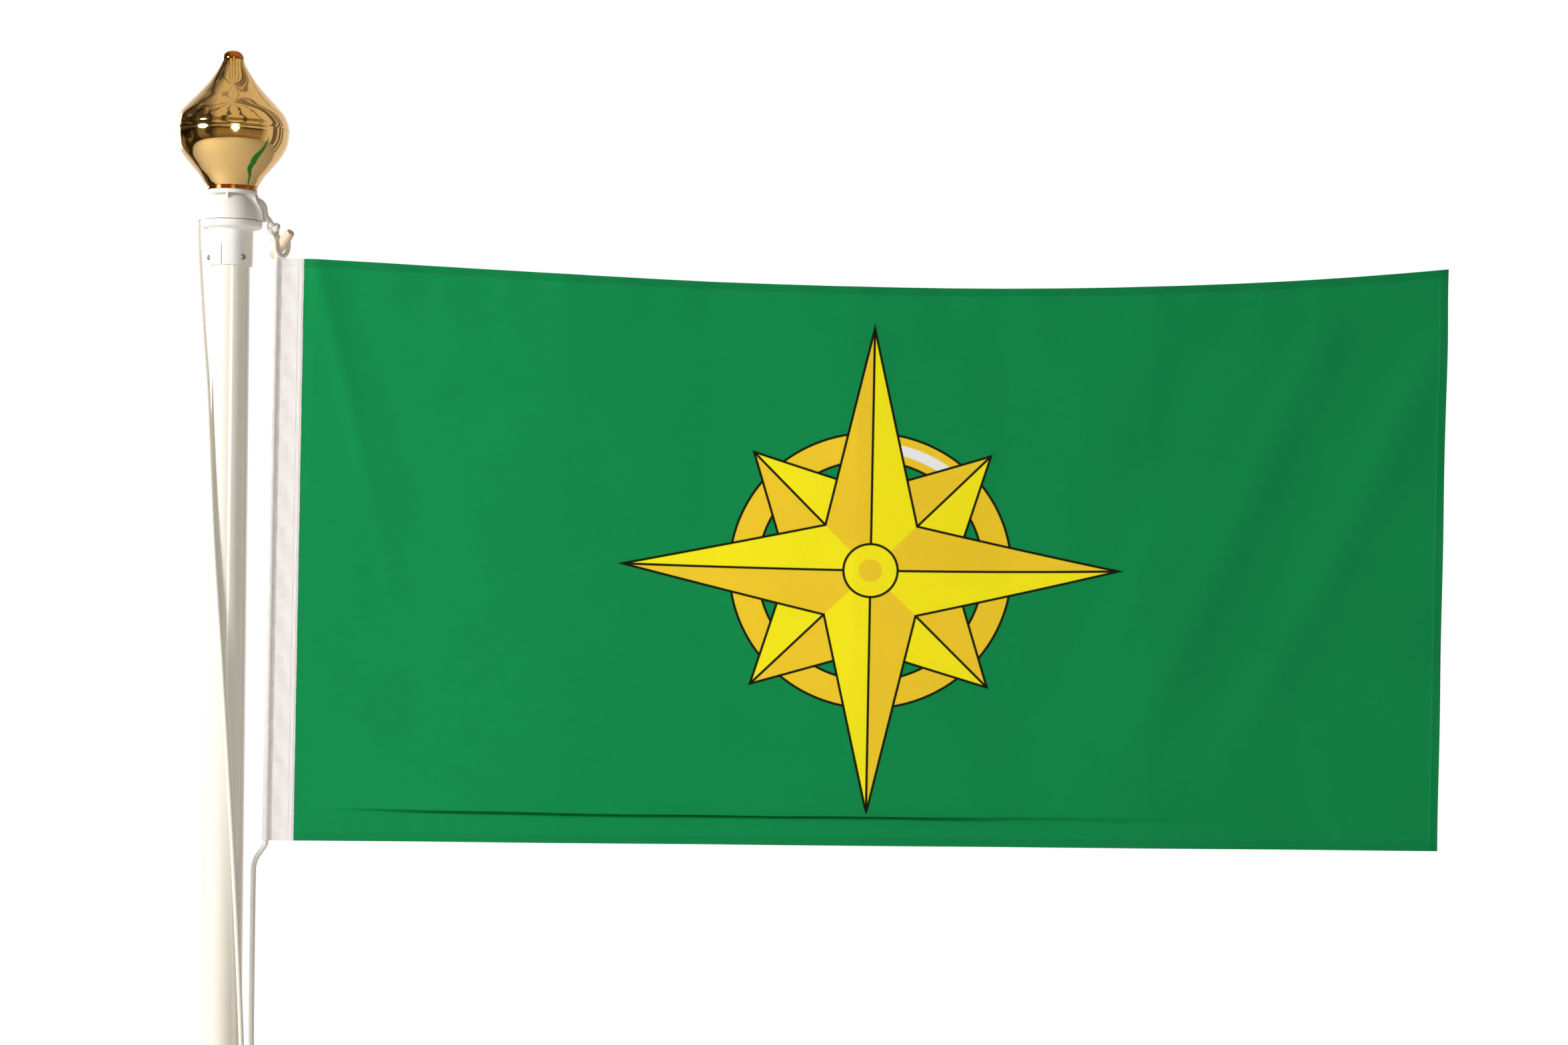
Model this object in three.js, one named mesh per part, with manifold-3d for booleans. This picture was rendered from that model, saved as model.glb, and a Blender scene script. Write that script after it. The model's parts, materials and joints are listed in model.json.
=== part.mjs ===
// A flag on a short fibreglass flagpole: tilting foot, tapered pole, turning truck with
// two sheaves, onion finial, halyard, and a flag with a hoist band and toggle.
// Millimetres, +Z up. The origin is the centre of the ground plate's underside, on the
// pole's axis. The flag flies towards +X, and the pole is lowered towards +Y.
import * as THREE from 'three';
import { mergeVertices } from 'three/addons/utils/BufferGeometryUtils.js';
import Module from 'manifold-3d';

// ---------------------------------------------------------------- driving dimensions
const gap = 0.3; // between pieces that touch
const overallHeight = 2750; // floor to finial tip

const poleTopDiameter = 57;
const poleTaper = 0.0027; // growth of the diameter per mm downwards
const poleWall = 3.5;

const plateSide = 320;
const plateThickness = 12;
const plateCorner = 14;
const anchorSpacing = 260;
const anchorHoleDiameter = 14;
const cheekThickness = 8;
const cheekGap = 0.8; // foot to cheek
const hingeHeight = 80;
const lockHeight = 210;
const boltDiameter = 12;
const footWall = 6;
const footBottom = 35;
const footLedge = 240; // the tube stands on this ledge inside the foot
const footTop = 420;

const ropeDiameter = 8;

const cleatHeight = 850; // its middle
const cleatLength = 150;
const cleatWidth = 12;
const cleatStandoff = 31; // pole surface to the horns' outer face

const collarWall = 4;
const collarLength = 58;
const collarScrewHeight = 12;
const collarScrewHead = 8.5;
const slitLength = 33;
const ringHeight = 11;
const ringOverhang = 14; // ring's radius beyond the collar's
const washerThickness = 2;
const domeHeight = 41;
const flangeThickness = 6;
const flangeDiameter = 77;
const sheaveGrooveRadius = 12.5;
const sheaveLip = 3.5;
const sheaveWidth = 14;
const sheavePinDiameter = 6;
const spindleDiameter = 8;

const finialHeight = 217;
const finialRadius = 86;
const finialBaseHeight = 6;
const finialSeamHeight = 94;
const finialTipHeight = 14;
const finialWall = 2;
const studDiameter = 10;

const flagHeight = 899;
const flagLength = 1768; // green cloth only
const flagThickness = 1.2;
const flagSag = 36; // of the top edge
const bandWidth = 48;
const hoistTopX = 65; // pole axis to the band's outer edge
const hoistBottomX = 59;
const flagBelowTip = 320; // finial tip to the band's top edge
const flyRise = 5; // the fly corners stand this much higher than the hoist's
const toggleLength = 54;
const toggleDiameter = 18;
const toggleEndDiameter = 13;
const knotWidth = 23;
const knotHeight = 26;

// ---------------------------------------------------------------- derived heights
const finialBottom = overallHeight - finialHeight;
const truckTop = finialBottom;
const ringTop = truckTop - flangeThickness - domeHeight;
const ringBottom = ringTop - ringHeight;
const collarBottom = ringBottom - collarLength;
const tubeTop = collarBottom + collarLength - 10;
const flagTop = overallHeight - flagBelowTip;

const poleRadius = (z) => poleTopDiameter / 2 + (poleTaper / 2) * (tubeTop - z);

const wasm = await Module();
wasm.setup();

// ---------------------------------------------------------------- finishes
const finish = (color, roughness, metalness) =>
  new THREE.MeshStandardMaterial({ color, roughness, metalness });
const gelcoat = finish('#f4f1ec', 0.25, 0);
const nylon = finish('#f2efe9', 0.35, 0);
const acetal = finish('#e6e2d8', 0.4, 0);
const gilt = finish('#c9a15a', 0.08, 1);
const amber = finish('#a85a12', 0.15, 0.8);
const galvanised = finish('#8d9193', 0.55, 0.9);
const castAluminium = finish('#b9bcbe', 0.5, 0.9);
const stainless = finish('#9a958c', 0.3, 1);
const braid = finish('#efebe1', 0.9, 0);
const beech = finish('#f0d9c0', 0.6, 0);
const canvas = finish('#ece8e4', 0.95, 0);
const bunting = finish('#178e4f', 0.9, 0);

// ---------------------------------------------------------------- geometry helpers
// Merges shared corners, drops collapsed triangles and turns the faces outwards.
function weld(source) {
  let g = source.index ? source.toNonIndexed() : source.clone();
  for (const name of Object.keys(g.attributes)) if (name !== 'position') g.deleteAttribute(name);
  g = mergeVertices(g, 1e-4);
  const p = g.attributes.position;
  const index = [];
  let volume = 0;
  const corners = [new THREE.Vector3(), new THREE.Vector3(), new THREE.Vector3()];
  for (let i = 0; i < g.index.count; i += 3) {
    const [a, b, c] = [g.index.getX(i), g.index.getX(i + 1), g.index.getX(i + 2)];
    if (a === b || b === c || c === a) continue;
    index.push(a, b, c);
    corners.forEach((v, k) => v.fromBufferAttribute(p, [a, b, c][k]));
    volume += corners[0].dot(corners[1].clone().cross(corners[2]));
  }
  if (volume < 0) index.reverse();
  g.setIndex(index);
  return g;
}

function solid(geometry) {
  const g = weld(geometry);
  return new wasm.Manifold(new wasm.Mesh({
    numProp: 3,
    vertProperties: new Float32Array(g.attributes.position.array),
    triVerts: new Uint32Array(g.index.array),
  }));
}

function surface(manifold) {
  const m = manifold.getMesh();
  const g = new THREE.BufferGeometry();
  g.setAttribute('position', new THREE.BufferAttribute(new Float32Array(m.vertProperties), 3));
  g.setIndex(new THREE.BufferAttribute(new Uint32Array(m.triVerts), 1));
  return g;
}

const cut = (body, ...tools) =>
  surface(tools.reduce((left, tool) => left.subtract(solid(tool)), solid(body)));
const join = (...bodies) => surface(bodies.map(solid).reduce((a, b) => a.add(b)));

// A closed profile of [radius, height] turned about the Z axis.
function turned(profile, segments = 32) {
  const points = profile.map(([r, z]) => new THREE.Vector2(r, z));
  const [first, last] = [points[0], points.at(-1)];
  if (first.x > 0 || last.x > 0) points.push(first.clone());
  return new THREE.LatheGeometry(points, segments).rotateX(Math.PI / 2);
}

// A round bar between two heights on the Z axis.
function bar(diameter, bottom, top, sides = 16) {
  return new THREE.CylinderGeometry(diameter / 2, diameter / 2, top - bottom, sides)
    .rotateX(Math.PI / 2).translate(0, 0, (top + bottom) / 2);
}

const block = (x0, x1, y0, y1, z0, z1) =>
  new THREE.BoxGeometry(x1 - x0, y1 - y0, z1 - z0)
    .translate((x0 + x1) / 2, (y0 + y1) / 2, (z0 + z1) / 2);

// An outline in Y and Z, as thick as from x0 to x1.
function sidePlate(shape, x0, x1) {
  return new THREE.ExtrudeGeometry(shape, { depth: x1 - x0, bevelEnabled: false, curveSegments: 10 })
    .rotateX(Math.PI / 2).rotateZ(Math.PI / 2).translate(x0, 0, 0);
}

// An outline in X and Z, as thick as from y0 to y1.
function frontPlate(shape, y0, y1) {
  return new THREE.ExtrudeGeometry(shape, { depth: y1 - y0, bevelEnabled: false, curveSegments: 10 })
    .rotateX(Math.PI / 2).translate(0, y1, 0);
}

// An eight-sided tube of the given diameter through a list of points.
function tube(points, diameter, step = 3 * ropeDiameter) {
  const route = new THREE.CatmullRomCurve3(points.map((p) => new THREE.Vector3(...p)), false, 'centripetal');
  const section = new THREE.Shape();
  section.absarc(0, 0, diameter / 2, 0, 2 * Math.PI);
  const steps = Math.max(4, Math.min(80, Math.ceil(route.getLength() / step)));
  return new THREE.ExtrudeGeometry(section, {
    steps, extrudePath: route, bevelEnabled: false, curveSegments: 4,
  });
}

const part = new THREE.Group();
function add(name, geometry, material) {
  const mesh = new THREE.Mesh(weld(geometry), material);
  mesh.name = name;
  part.add(mesh);
  return mesh;
}

// ---------------------------------------------------------------- foot
const footBore = poleRadius(footLedge) + gap;
const footRadius = footBore + footWall;
const cheekInner = footRadius + cheekGap;
const cheekOuter = cheekInner + cheekThickness;
const headWidth = 1.5 * boltDiameter; // across flats
const headHeight = 0.7 * boltDiameter;
const boltFlange = 2;
const boltProjection = 6; // of the thread beyond its nut
const boltFlangeDiameter = 1.3 * headWidth;
const nutHeight = 0.85 * boltDiameter;
const boltHole = boltDiameter + 2 * gap;

const hexagon = (acrossFlats, x0, x1) =>
  new THREE.CylinderGeometry(acrossFlats / Math.sqrt(3), acrossFlats / Math.sqrt(3), x1 - x0, 6)
    .rotateZ(Math.PI / 2).translate((x0 + x1) / 2, 0, 0);
const crossBar = (diameter, x0, x1, sides = 16) =>
  new THREE.CylinderGeometry(diameter / 2, diameter / 2, x1 - x0, sides)
    .rotateZ(Math.PI / 2).translate((x0 + x1) / 2, 0, 0);

function groundPlate() {
  const half = plateSide / 2;
  const outline = new THREE.Shape();
  outline.moveTo(half - plateCorner, -half);
  outline.absarc(half - plateCorner, -half + plateCorner, plateCorner, -Math.PI / 2, 0);
  outline.absarc(half - plateCorner, half - plateCorner, plateCorner, 0, Math.PI / 2);
  outline.absarc(-half + plateCorner, half - plateCorner, plateCorner, Math.PI / 2, Math.PI);
  outline.absarc(-half + plateCorner, -half + plateCorner, plateCorner, Math.PI, 1.5 * Math.PI);
  for (const sx of [-1, 1]) for (const sy of [-1, 1]) {
    const hole = new THREE.Path();
    hole.absarc(sx * anchorSpacing / 2, sy * anchorSpacing / 2, anchorHoleDiameter / 2, 0, 2 * Math.PI);
    outline.holes.push(hole);
  }
  return new THREE.ExtrudeGeometry(outline, {
    depth: plateThickness, bevelEnabled: false, curveSegments: 6,
  });
}

// A cheek's outline: wide on the plate, round over the lock bolt, with an arched slot
// that is open on the side the pole is lowered to.
function cheek(x0, x1) {
  const footHalf = 62;
  const crown = 30;
  const top = lockHeight + 4;
  const outline = new THREE.Shape();
  outline.moveTo(-footHalf, plateThickness + gap);
  outline.lineTo(footHalf, plateThickness + gap);
  outline.lineTo(footHalf, plateThickness + 26);
  outline.lineTo(crown, top - 60);
  outline.absarc(0, top, crown, 0, Math.PI);
  outline.lineTo(-crown, top - 60);
  outline.lineTo(-footHalf, plateThickness + 26);
  const arm = lockHeight - hingeHeight;
  const slotHalf = boltHole / 2 + 0.2;
  const slot = new THREE.Shape();
  slot.absarc(0, hingeHeight, arm + slotHalf, Math.PI / 2, Math.PI / 5, true);
  slot.absarc(0, hingeHeight, arm - slotHalf, Math.PI / 5, Math.PI / 2);
  slot.absarc(0, lockHeight, slotHalf, 1.5 * Math.PI, Math.PI / 2, true);
  return cut(
    sidePlate(outline, x0, x1),
    sidePlate(slot, x0 - 1, x1 + 1),
    crossBar(boltHole, x0 - 1, x1 + 1).translate(0, 0, hingeHeight),
  );
}

function clampBolt(height) {
  const headFace = -cheekOuter - gap;
  return join(
    hexagon(headWidth, headFace - headHeight, headFace),
    crossBar(boltFlangeDiameter, headFace - boltFlange, headFace),
    crossBar(boltDiameter, headFace - 1, cheekOuter + nutHeight + boltProjection),
  ).translate(0, 0, height);
}

function clampNut(height) {
  const face = cheekOuter + gap;
  return cut(
    join(hexagon(headWidth, face, face + nutHeight), crossBar(boltFlangeDiameter, face, face + boltFlange)),
    crossBar(boltHole, face - 1, face + nutHeight + 1),
  ).translate(0, 0, height);
}

function poleFoot() {
  const throat = footBore - footWall;
  const edge = 2;
  const sleeve = turned([
    [throat, footBottom], [footRadius - edge, footBottom], [footRadius, footBottom + edge],
    [footRadius, footTop - edge], [footRadius - edge, footTop], [footBore, footTop],
    [footBore, footLedge - gap], [throat, footLedge - gap],
  ]);
  const drill = (z) => crossBar(boltHole, -footRadius - 1, footRadius + 1).translate(0, 0, z);
  return cut(sleeve, drill(hingeHeight), drill(lockHeight));
}

add('ground_plate', groundPlate(), galvanised);
add('cheek_left', cheek(-cheekOuter, -cheekInner), galvanised);
add('cheek_right', cheek(cheekInner, cheekOuter), galvanised);
add('hinge_bolt', clampBolt(hingeHeight), galvanised);
add('hinge_nut', clampNut(hingeHeight), galvanised);
add('lock_bolt', clampBolt(lockHeight), galvanised);
add('lock_nut', clampNut(lockHeight), galvanised);
add('pole_foot', poleFoot(), castAluminium);

// ---------------------------------------------------------------- pole tube
const screwShank = 4;
const screwHole = screwShank + 2 * gap;
const collarBore = poleTopDiameter / 2 + 2 * gap;
const collarRadius = collarBore + collarWall;
const collarScrewAngles = [45, 165, -75]; // from -Y towards +X, degrees
const slitAngles = collarScrewAngles.map((a) => a - 60);
const cleatScrewSpread = 17;
const cleatScrewDiameter = 5;

// Turns a radial tool that points along -Y to an angle from -Y towards +X.
const aim = (geometry, degrees) => geometry.rotateZ(THREE.MathUtils.degToRad(degrees));
const radialBar = (diameter, inner, outer, sides = 12) =>
  new THREE.CylinderGeometry(diameter / 2, diameter / 2, outer - inner, sides)
    .translate(0, -(inner + outer) / 2, 0);

function poleTube() {
  const [bottomRadius, topRadius] = [poleRadius(footLedge), poleRadius(tubeTop)];
  const body = turned([
    [bottomRadius - poleWall, footLedge], [bottomRadius, footLedge],
    [topRadius, tubeTop], [topRadius - poleWall, tubeTop],
  ]);
  const screwTools = collarScrewAngles.map((a) =>
    aim(radialBar(screwHole, topRadius - poleWall - 2, topRadius + 2), a)
      .translate(0, 0, collarBottom + collarScrewHeight));
  const cleatTools = [-1, 1].map((side) =>
    aim(radialBar(cleatScrewDiameter + 2 * gap, poleRadius(cleatHeight) - poleWall - 2,
      poleRadius(cleatHeight) + 2), 90).translate(0, 0, cleatHeight + side * cleatScrewSpread));
  return cut(body, ...screwTools, ...cleatTools);
}
add('pole_tube', poleTube(), gelcoat);

// ---------------------------------------------------------------- cleat
const cleatFoot = poleRadius(cleatHeight - cleatLength / 2) + gap; // the base's inner face
const cleatFace = cleatFoot + cleatStandoff;
const cleatBaseDepth = 8;
const cleatNeckHalf = 11;
const hornRoot = cleatFoot + cleatBaseDepth + ropeDiameter + 4;

function cleat() {
  const half = cleatLength / 2;
  const baseHalf = cleatScrewSpread + 9;
  const outline = new THREE.Shape();
  outline.moveTo(cleatFoot, cleatHeight - baseHalf);
  outline.lineTo(cleatFoot + cleatBaseDepth, cleatHeight - baseHalf);
  outline.lineTo(cleatFoot + cleatBaseDepth, cleatHeight - cleatNeckHalf);
  outline.lineTo(hornRoot, cleatHeight - cleatNeckHalf - 4);
  outline.quadraticCurveTo(hornRoot + 4, cleatHeight - half * 0.7, cleatFace - 9, cleatHeight - half);
  outline.lineTo(cleatFace - 2, cleatHeight - half);
  outline.quadraticCurveTo(cleatFace, cleatHeight, cleatFace - 2, cleatHeight + half);
  outline.lineTo(cleatFace - 9, cleatHeight + half);
  outline.quadraticCurveTo(hornRoot + 4, cleatHeight + half * 0.7, hornRoot, cleatHeight + cleatNeckHalf + 4);
  outline.lineTo(cleatFoot + cleatBaseDepth, cleatHeight + cleatNeckHalf);
  outline.lineTo(cleatFoot + cleatBaseDepth, cleatHeight + baseHalf);
  outline.lineTo(cleatFoot, cleatHeight + baseHalf);
  const holes = [-1, 1].map((side) =>
    crossBar(cleatScrewDiameter + 2 * gap, cleatFoot - 2, cleatFoot + cleatBaseDepth + 1)
      .translate(0, 0, cleatHeight + side * cleatScrewSpread));
  return cut(frontPlate(outline, -cleatWidth / 2, cleatWidth / 2), ...holes);
}

function cleatScrew(z) {
  const face = cleatFoot + cleatBaseDepth + gap;
  const tip = poleRadius(cleatHeight) - poleWall + 0.5;
  return join(
    crossBar(cleatScrewDiameter, tip, face + 1),
    crossBar(cleatScrewDiameter * 1.8, face, face + 2.6),
  ).translate(0, 0, z);
}

// The turns of halyard under the horns, as one ring of their outer shape.
function cleatTurns() {
  const racetrack = (Outline, halfLength, halfWidth) => {
    const shape = new Outline();
    shape.absarc(0, halfLength - halfWidth, halfWidth, 0, Math.PI);
    shape.absarc(0, halfWidth - halfLength, halfWidth, Math.PI, 2 * Math.PI);
    return shape;
  };
  const inner = [cleatNeckHalf + 17, cleatWidth / 2 + 1];
  const shape = racetrack(THREE.Shape, inner[0] + 2 * ropeDiameter, inner[1] + 1.5 * ropeDiameter);
  shape.holes.push(racetrack(THREE.Path, ...inner));
  return new THREE.ExtrudeGeometry(shape, { depth: ropeDiameter, bevelEnabled: false, curveSegments: 6 })
    .rotateX(Math.PI / 2).rotateZ(Math.PI / 2)
    .translate(cleatFoot + cleatBaseDepth + 3.2, 0, cleatHeight);
}

add('cleat', cleat(), castAluminium);
add('cleat_screw_upper', cleatScrew(cleatHeight + cleatScrewSpread), stainless);
add('cleat_screw_lower', cleatScrew(cleatHeight - cleatScrewSpread), stainless);
add('cleat_turns', cleatTurns(), braid);

// ---------------------------------------------------------------- truck: fixed collar
const ringRadius = collarRadius + ringOverhang;
const webThickness = 8;
const washerRadius = 16;
const spindleHole = spindleDiameter + 2 * gap;
const washerSeat = ringTop - washerThickness;

function collar() {
  const round = 3;
  const body = turned([
    [collarBore, collarBottom], [collarRadius - 0.6, collarBottom], [collarRadius, ringBottom - 2],
    [collarRadius + 3, ringBottom], [ringRadius - round, ringBottom], [ringRadius - 0.8, ringBottom + 1.2],
    [ringRadius, ringBottom + round + 1], [ringRadius, ringTop - 1], [ringRadius - 1, ringTop],
    [washerRadius + gap, ringTop], [washerRadius + gap, washerSeat - gap],
    [spindleHole / 2, washerSeat - gap], [spindleHole / 2, ringTop - webThickness],
    [collarBore, ringTop - webThickness],
  ], 40);
  const screwTools = collarScrewAngles.map((a) =>
    aim(radialBar(screwHole, collarBore - 2, collarRadius + 2), a)
      .translate(0, 0, collarBottom + collarScrewHeight));
  const slitTools = slitAngles.map((a) =>
    aim(block(-1, 1, -collarRadius - 2, -collarBore + 1, collarBottom - 1, collarBottom + slitLength), a));
  return cut(body, ...screwTools, ...slitTools);
}

function collarScrew(degrees) {
  const inner = poleTopDiameter / 2 - poleWall + 0.5;
  const seat = collarRadius + gap;
  const cross = [0, 90].map((turn) =>
    block(-0.6, 0.6, -seat - 4, -seat - 1.7, -2.4, 2.4).rotateY(THREE.MathUtils.degToRad(turn)));
  const head = turned([
    [0, 0], [collarScrewHead / 2, 0], [collarScrewHead / 2, 1.2], [collarScrewHead / 2 - 0.9, 2.4], [0, 3],
  ], 16).rotateX(Math.PI / 2).translate(0, -seat, 0);
  const body = surface(solid(radialBar(screwShank, inner, seat + 1)).add(solid(head)));
  return aim(cut(body, ...cross), degrees).translate(0, 0, collarBottom + collarScrewHeight);
}

add('truck_collar', collar(), nylon);
collarScrewAngles.forEach((a, i) => add(`collar_screw_${i + 1}`, collarScrew(a), stainless));
add('thrust_washer', turned([
  [spindleHole / 2, washerSeat], [washerRadius, washerSeat],
  [washerRadius, washerSeat + washerThickness + gap], [spindleHole / 2, washerSeat + washerThickness + gap],
]), acetal);

// ---------------------------------------------------------------- truck: turning head
const ropeRadius = ropeDiameter / 2;
const ropeX = ringRadius + ropeRadius + 0.6; // the falls hang clear of the ring
const sheaveRadius = sheaveGrooveRadius + sheaveLip;
const sheaveX = ropeX - sheaveGrooveRadius - ropeRadius;
const sheaveZ = ringTop + sheaveRadius + 1.5;
const slotHalf = sheaveWidth / 2 + 2;
const cheekWall = 5;
const headBottom = ringTop + 3 * gap;
const floorTop = headBottom + 4;
const flangeBottom = truckTop - flangeThickness;
const roofBottom = sheaveZ + sheaveGrooveRadius + ropeDiameter + 0.8;
const flangeRadius = flangeDiameter / 2;
const pinHalf = slotHalf + cheekWall - 1;
const nutSpan = spindleDiameter * 1.75;

// The channel walls beside the sheaves, wider at the rope's way out than at the top.
function channelWall(y0, y1) {
  const rim = ropeX - 1;
  const shape = new THREE.Shape();
  shape.moveTo(-rim, headBottom);
  shape.lineTo(rim, headBottom);
  shape.lineTo(rim - 0.6, headBottom + 9);
  shape.quadraticCurveTo(rim - 3, headBottom + 18, flangeRadius + 3, flangeBottom - 12);
  shape.lineTo(flangeRadius - 0.5, flangeBottom + 1);
  shape.lineTo(-flangeRadius + 0.5, flangeBottom + 1);
  shape.lineTo(-flangeRadius - 3, flangeBottom - 12);
  shape.quadraticCurveTo(3 - rim, headBottom + 18, 0.6 - rim, headBottom + 9);
  return frontPlate(shape, y0, y1);
}

function housingFront() {
  const bulge = ringRadius - 2;
  const neck = 21;
  const rise = flangeBottom - headBottom;
  const arc = [0.12, 0.3, 0.48, 0.64, 0.78, 0.9].map((t) => [
    neck + (bulge - neck) * Math.cos((t * Math.PI) / 2) ** 0.8, headBottom + rise * Math.sin((t * Math.PI) / 2),
  ]);
  const dome = turned([[0, headBottom], [bulge, headBottom], ...arc, [neck, flangeBottom + 1],
    [0, flangeBottom + 1]], 40);
  const reach = 200;
  const front = solid(block(-reach, reach, -reach, -slotHalf, headBottom - 1, flangeBottom + 0.5));
  const half = solid(block(-reach, reach, -reach, -gap / 2, headBottom - 1, truckTop + 1));
  const roof = turned([
    [0, roofBottom], [neck, roofBottom], [neck + 1, flangeBottom], [flangeRadius - 1, flangeBottom],
    [flangeRadius, flangeBottom + 1], [flangeRadius, truckTop - 1], [flangeRadius - 1, truckTop], [0, truckTop],
  ], 40);
  const centre = sheaveX - sheaveRadius - 1.5;
  const floorPiece = block(-centre, centre, -slotHalf - 1, 0, headBottom, floorTop);
  const ribReach = bulge - 13;
  const rib = new THREE.Shape();
  rib.moveTo(-neck + 2, flangeBottom + 0.5);
  rib.lineTo(-ribReach, flangeBottom + 0.5);
  rib.lineTo(-neck - 4, flangeBottom - 12);
  rib.lineTo(-neck + 2, flangeBottom - 12);
  let body = solid(dome).intersect(front)
    .add(solid(channelWall(-slotHalf - cheekWall, -slotHalf)))
    .add(solid(roof).intersect(half))
    .add(solid(floorPiece).intersect(half))
    .add(solid(sidePlate(rib, -1.5, 1.5)));
  const tools = [bar(spindleHole, headBottom - 1, floorTop + 1), bar(studDiameter + 2 * gap, roofBottom - 1, truckTop + 1)];
  for (const side of [-1, 1]) {
    tools.push(radialBar(sheavePinDiameter + 2 * gap, slotHalf - 1, pinHalf + gap).translate(side * sheaveX, 0, sheaveZ));
  }
  for (const tool of tools) body = body.subtract(solid(tool));
  return surface(body);
}

function sheave() {
  const bore = sheavePinDiameter / 2 + gap;
  const half = sheaveWidth / 2;
  const shoulder = [0.25, 0.5, 0.75].map((t) => half * t);
  const grooveSlack = 2 * gap;
  const groove = (y) => sheaveGrooveRadius + sheaveLip * (y / half) ** 2;
  const profile = [[bore, -half], [sheaveRadius, -half]];
  for (const y of [...shoulder].reverse()) profile.push([groove(y) - grooveSlack, -y]);
  profile.push([groove(0) - grooveSlack, 0]);
  for (const y of shoulder) profile.push([groove(y) - grooveSlack, y]);
  profile.push([sheaveRadius, half], [bore, half]);
  return turned(profile, 24).rotateX(Math.PI / 2);
}

add('spindle_bolt', join(
  bar(spindleDiameter, ringTop - webThickness - 4, floorTop + 12),
  bar(nutSpan, ringTop - webThickness - 6, ringTop - webThickness - gap, 6),
), stainless);
add('spindle_nut', cut(
  bar(nutSpan, floorTop + gap, floorTop + 8, 6), bar(spindleHole, floorTop - 1, floorTop + 9),
), stainless);
add('housing_front', housingFront(), nylon);
add('housing_rear', weld(housingFront()).rotateZ(Math.PI), nylon);
for (const [name, side] of [['left', -1], ['right', 1]]) {
  add(`sheave_${name}`, sheave().translate(side * sheaveX, 0, sheaveZ), acetal);
  add(`sheave_pin_${name}`, radialBar(sheavePinDiameter, -pinHalf, pinHalf)
    .translate(side * sheaveX, 0, sheaveZ), stainless);
}

// ---------------------------------------------------------------- finial
const lowerOutline = [[0.46, 0], [0.49, 0.06], [0.59, 0.21], [0.74, 0.38], [0.88, 0.56], [0.965, 0.73], [1, 0.9], [1, 1]];
const upperOutline = [[1, 0], [0.985, 0.1], [0.915, 0.24], [0.765, 0.38], [0.58, 0.54], [0.41, 0.7], [0.275, 0.85], [0.19, 1]];

// A thin shell between two heights, following an outline given as shares of the greatest
// radius and of the shell's height.
function shell(outline, bottom, top) {
  const curve = new THREE.SplineCurve(outline.map(([r, h]) =>
    new THREE.Vector2(r * finialRadius, bottom + h * (top - bottom))));
  const outer = curve.getPoints(9).map((p) => [p.x, p.y]);
  const inner = outer.map(([r, z]) => [r - finialWall, z]).reverse();
  return turned([...outer, ...inner]);
}

const finialSeam = finialBottom + finialSeamHeight;
const tipBottom = overallHeight - finialTipHeight;
const baseTop = finialBottom + finialBaseHeight;
const tipRadius = 0.19 * finialRadius - 0.4;
const studHole = studDiameter / 2 + gap;

add('finial_stud', bar(studDiameter, truckTop - flangeThickness, tipBottom + 5), stainless);
add('finial_base_ring', turned([
  [studHole, finialBottom + gap], [flangeRadius, finialBottom + gap], [flangeRadius, baseTop - 1],
  [flangeRadius - 1, baseTop], [studHole, baseTop],
]), amber);
add('finial_lower_shell', shell(lowerOutline, baseTop + gap, finialSeam - gap / 2), gilt);
add('finial_upper_shell', shell(upperOutline, finialSeam + gap / 2, tipBottom - gap), gilt);
add('finial_tip', turned([
  [studHole, tipBottom], [tipRadius - 0.5, tipBottom], [tipRadius, tipBottom + 1.5], [tipRadius - 0.6, tipBottom + 5],
  [tipRadius * 0.78, tipBottom + 9.5], [tipRadius * 0.45, tipBottom + 12.8], [0, overallHeight],
  [0, tipBottom + 7], [studHole, tipBottom + 7],
], 32), amber);

// ---------------------------------------------------------------- flag
const hoistLean = Math.atan2(hoistTopX - hoistBottomX, flagHeight);
const sleeveRadius = ropeRadius + 1.6;
const sleeveBore = ropeRadius + 0.5;
const flagBottom = flagTop - flagHeight;
const hoistX = (z) => hoistBottomX + ((hoistTopX - hoistBottomX) * (z - flagBottom)) / flagHeight;

// The canvas band: a sleeve round the hoist rope and a flat strip towards the cloth.
function hoistBand() {
  const half = flagThickness / 2;
  const shape = new THREE.Shape();
  const start = Math.asin(half / sleeveRadius);
  shape.absarc(sleeveRadius, 0, sleeveRadius, start, 2 * Math.PI - start);
  shape.lineTo(bandWidth - gap, -half);
  shape.lineTo(bandWidth - gap, half);
  const bore = new THREE.Path();
  bore.absarc(sleeveRadius, 0, sleeveBore, 0, 2 * Math.PI);
  shape.holes.push(bore);
  return new THREE.ExtrudeGeometry(shape, { depth: flagHeight, bevelEnabled: false, curveSegments: 8 })
    .rotateY(hoistLean).translate(hoistBottomX, 0, flagBottom);
}

function flagCloth() {
  const lowPoint = 0.57; // the top edge sags most at this share of the length
  const warp = Math.log(0.5) / Math.log(lowPoint);
  const shape = new THREE.Shape();
  const edge = (z) => hoistX(z) + bandWidth;
  const flyX = edge(flagTop) + flagLength;
  shape.moveTo(edge(flagBottom), flagBottom);
  shape.lineTo(flyX - 2, flagBottom + flyRise);
  shape.lineTo(flyX, flagTop + flyRise);
  const steps = 24;
  for (let i = 1; i < steps; i += 1) {
    const t = 1 - i / steps;
    const u = t ** warp;
    shape.lineTo(edge(flagTop) + t * flagLength, flagTop + t * flyRise - 4 * flagSag * u * (1 - u));
  }
  shape.lineTo(edge(flagTop), flagTop);
  return frontPlate(shape, -flagThickness / 2, flagThickness / 2);
}

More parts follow.
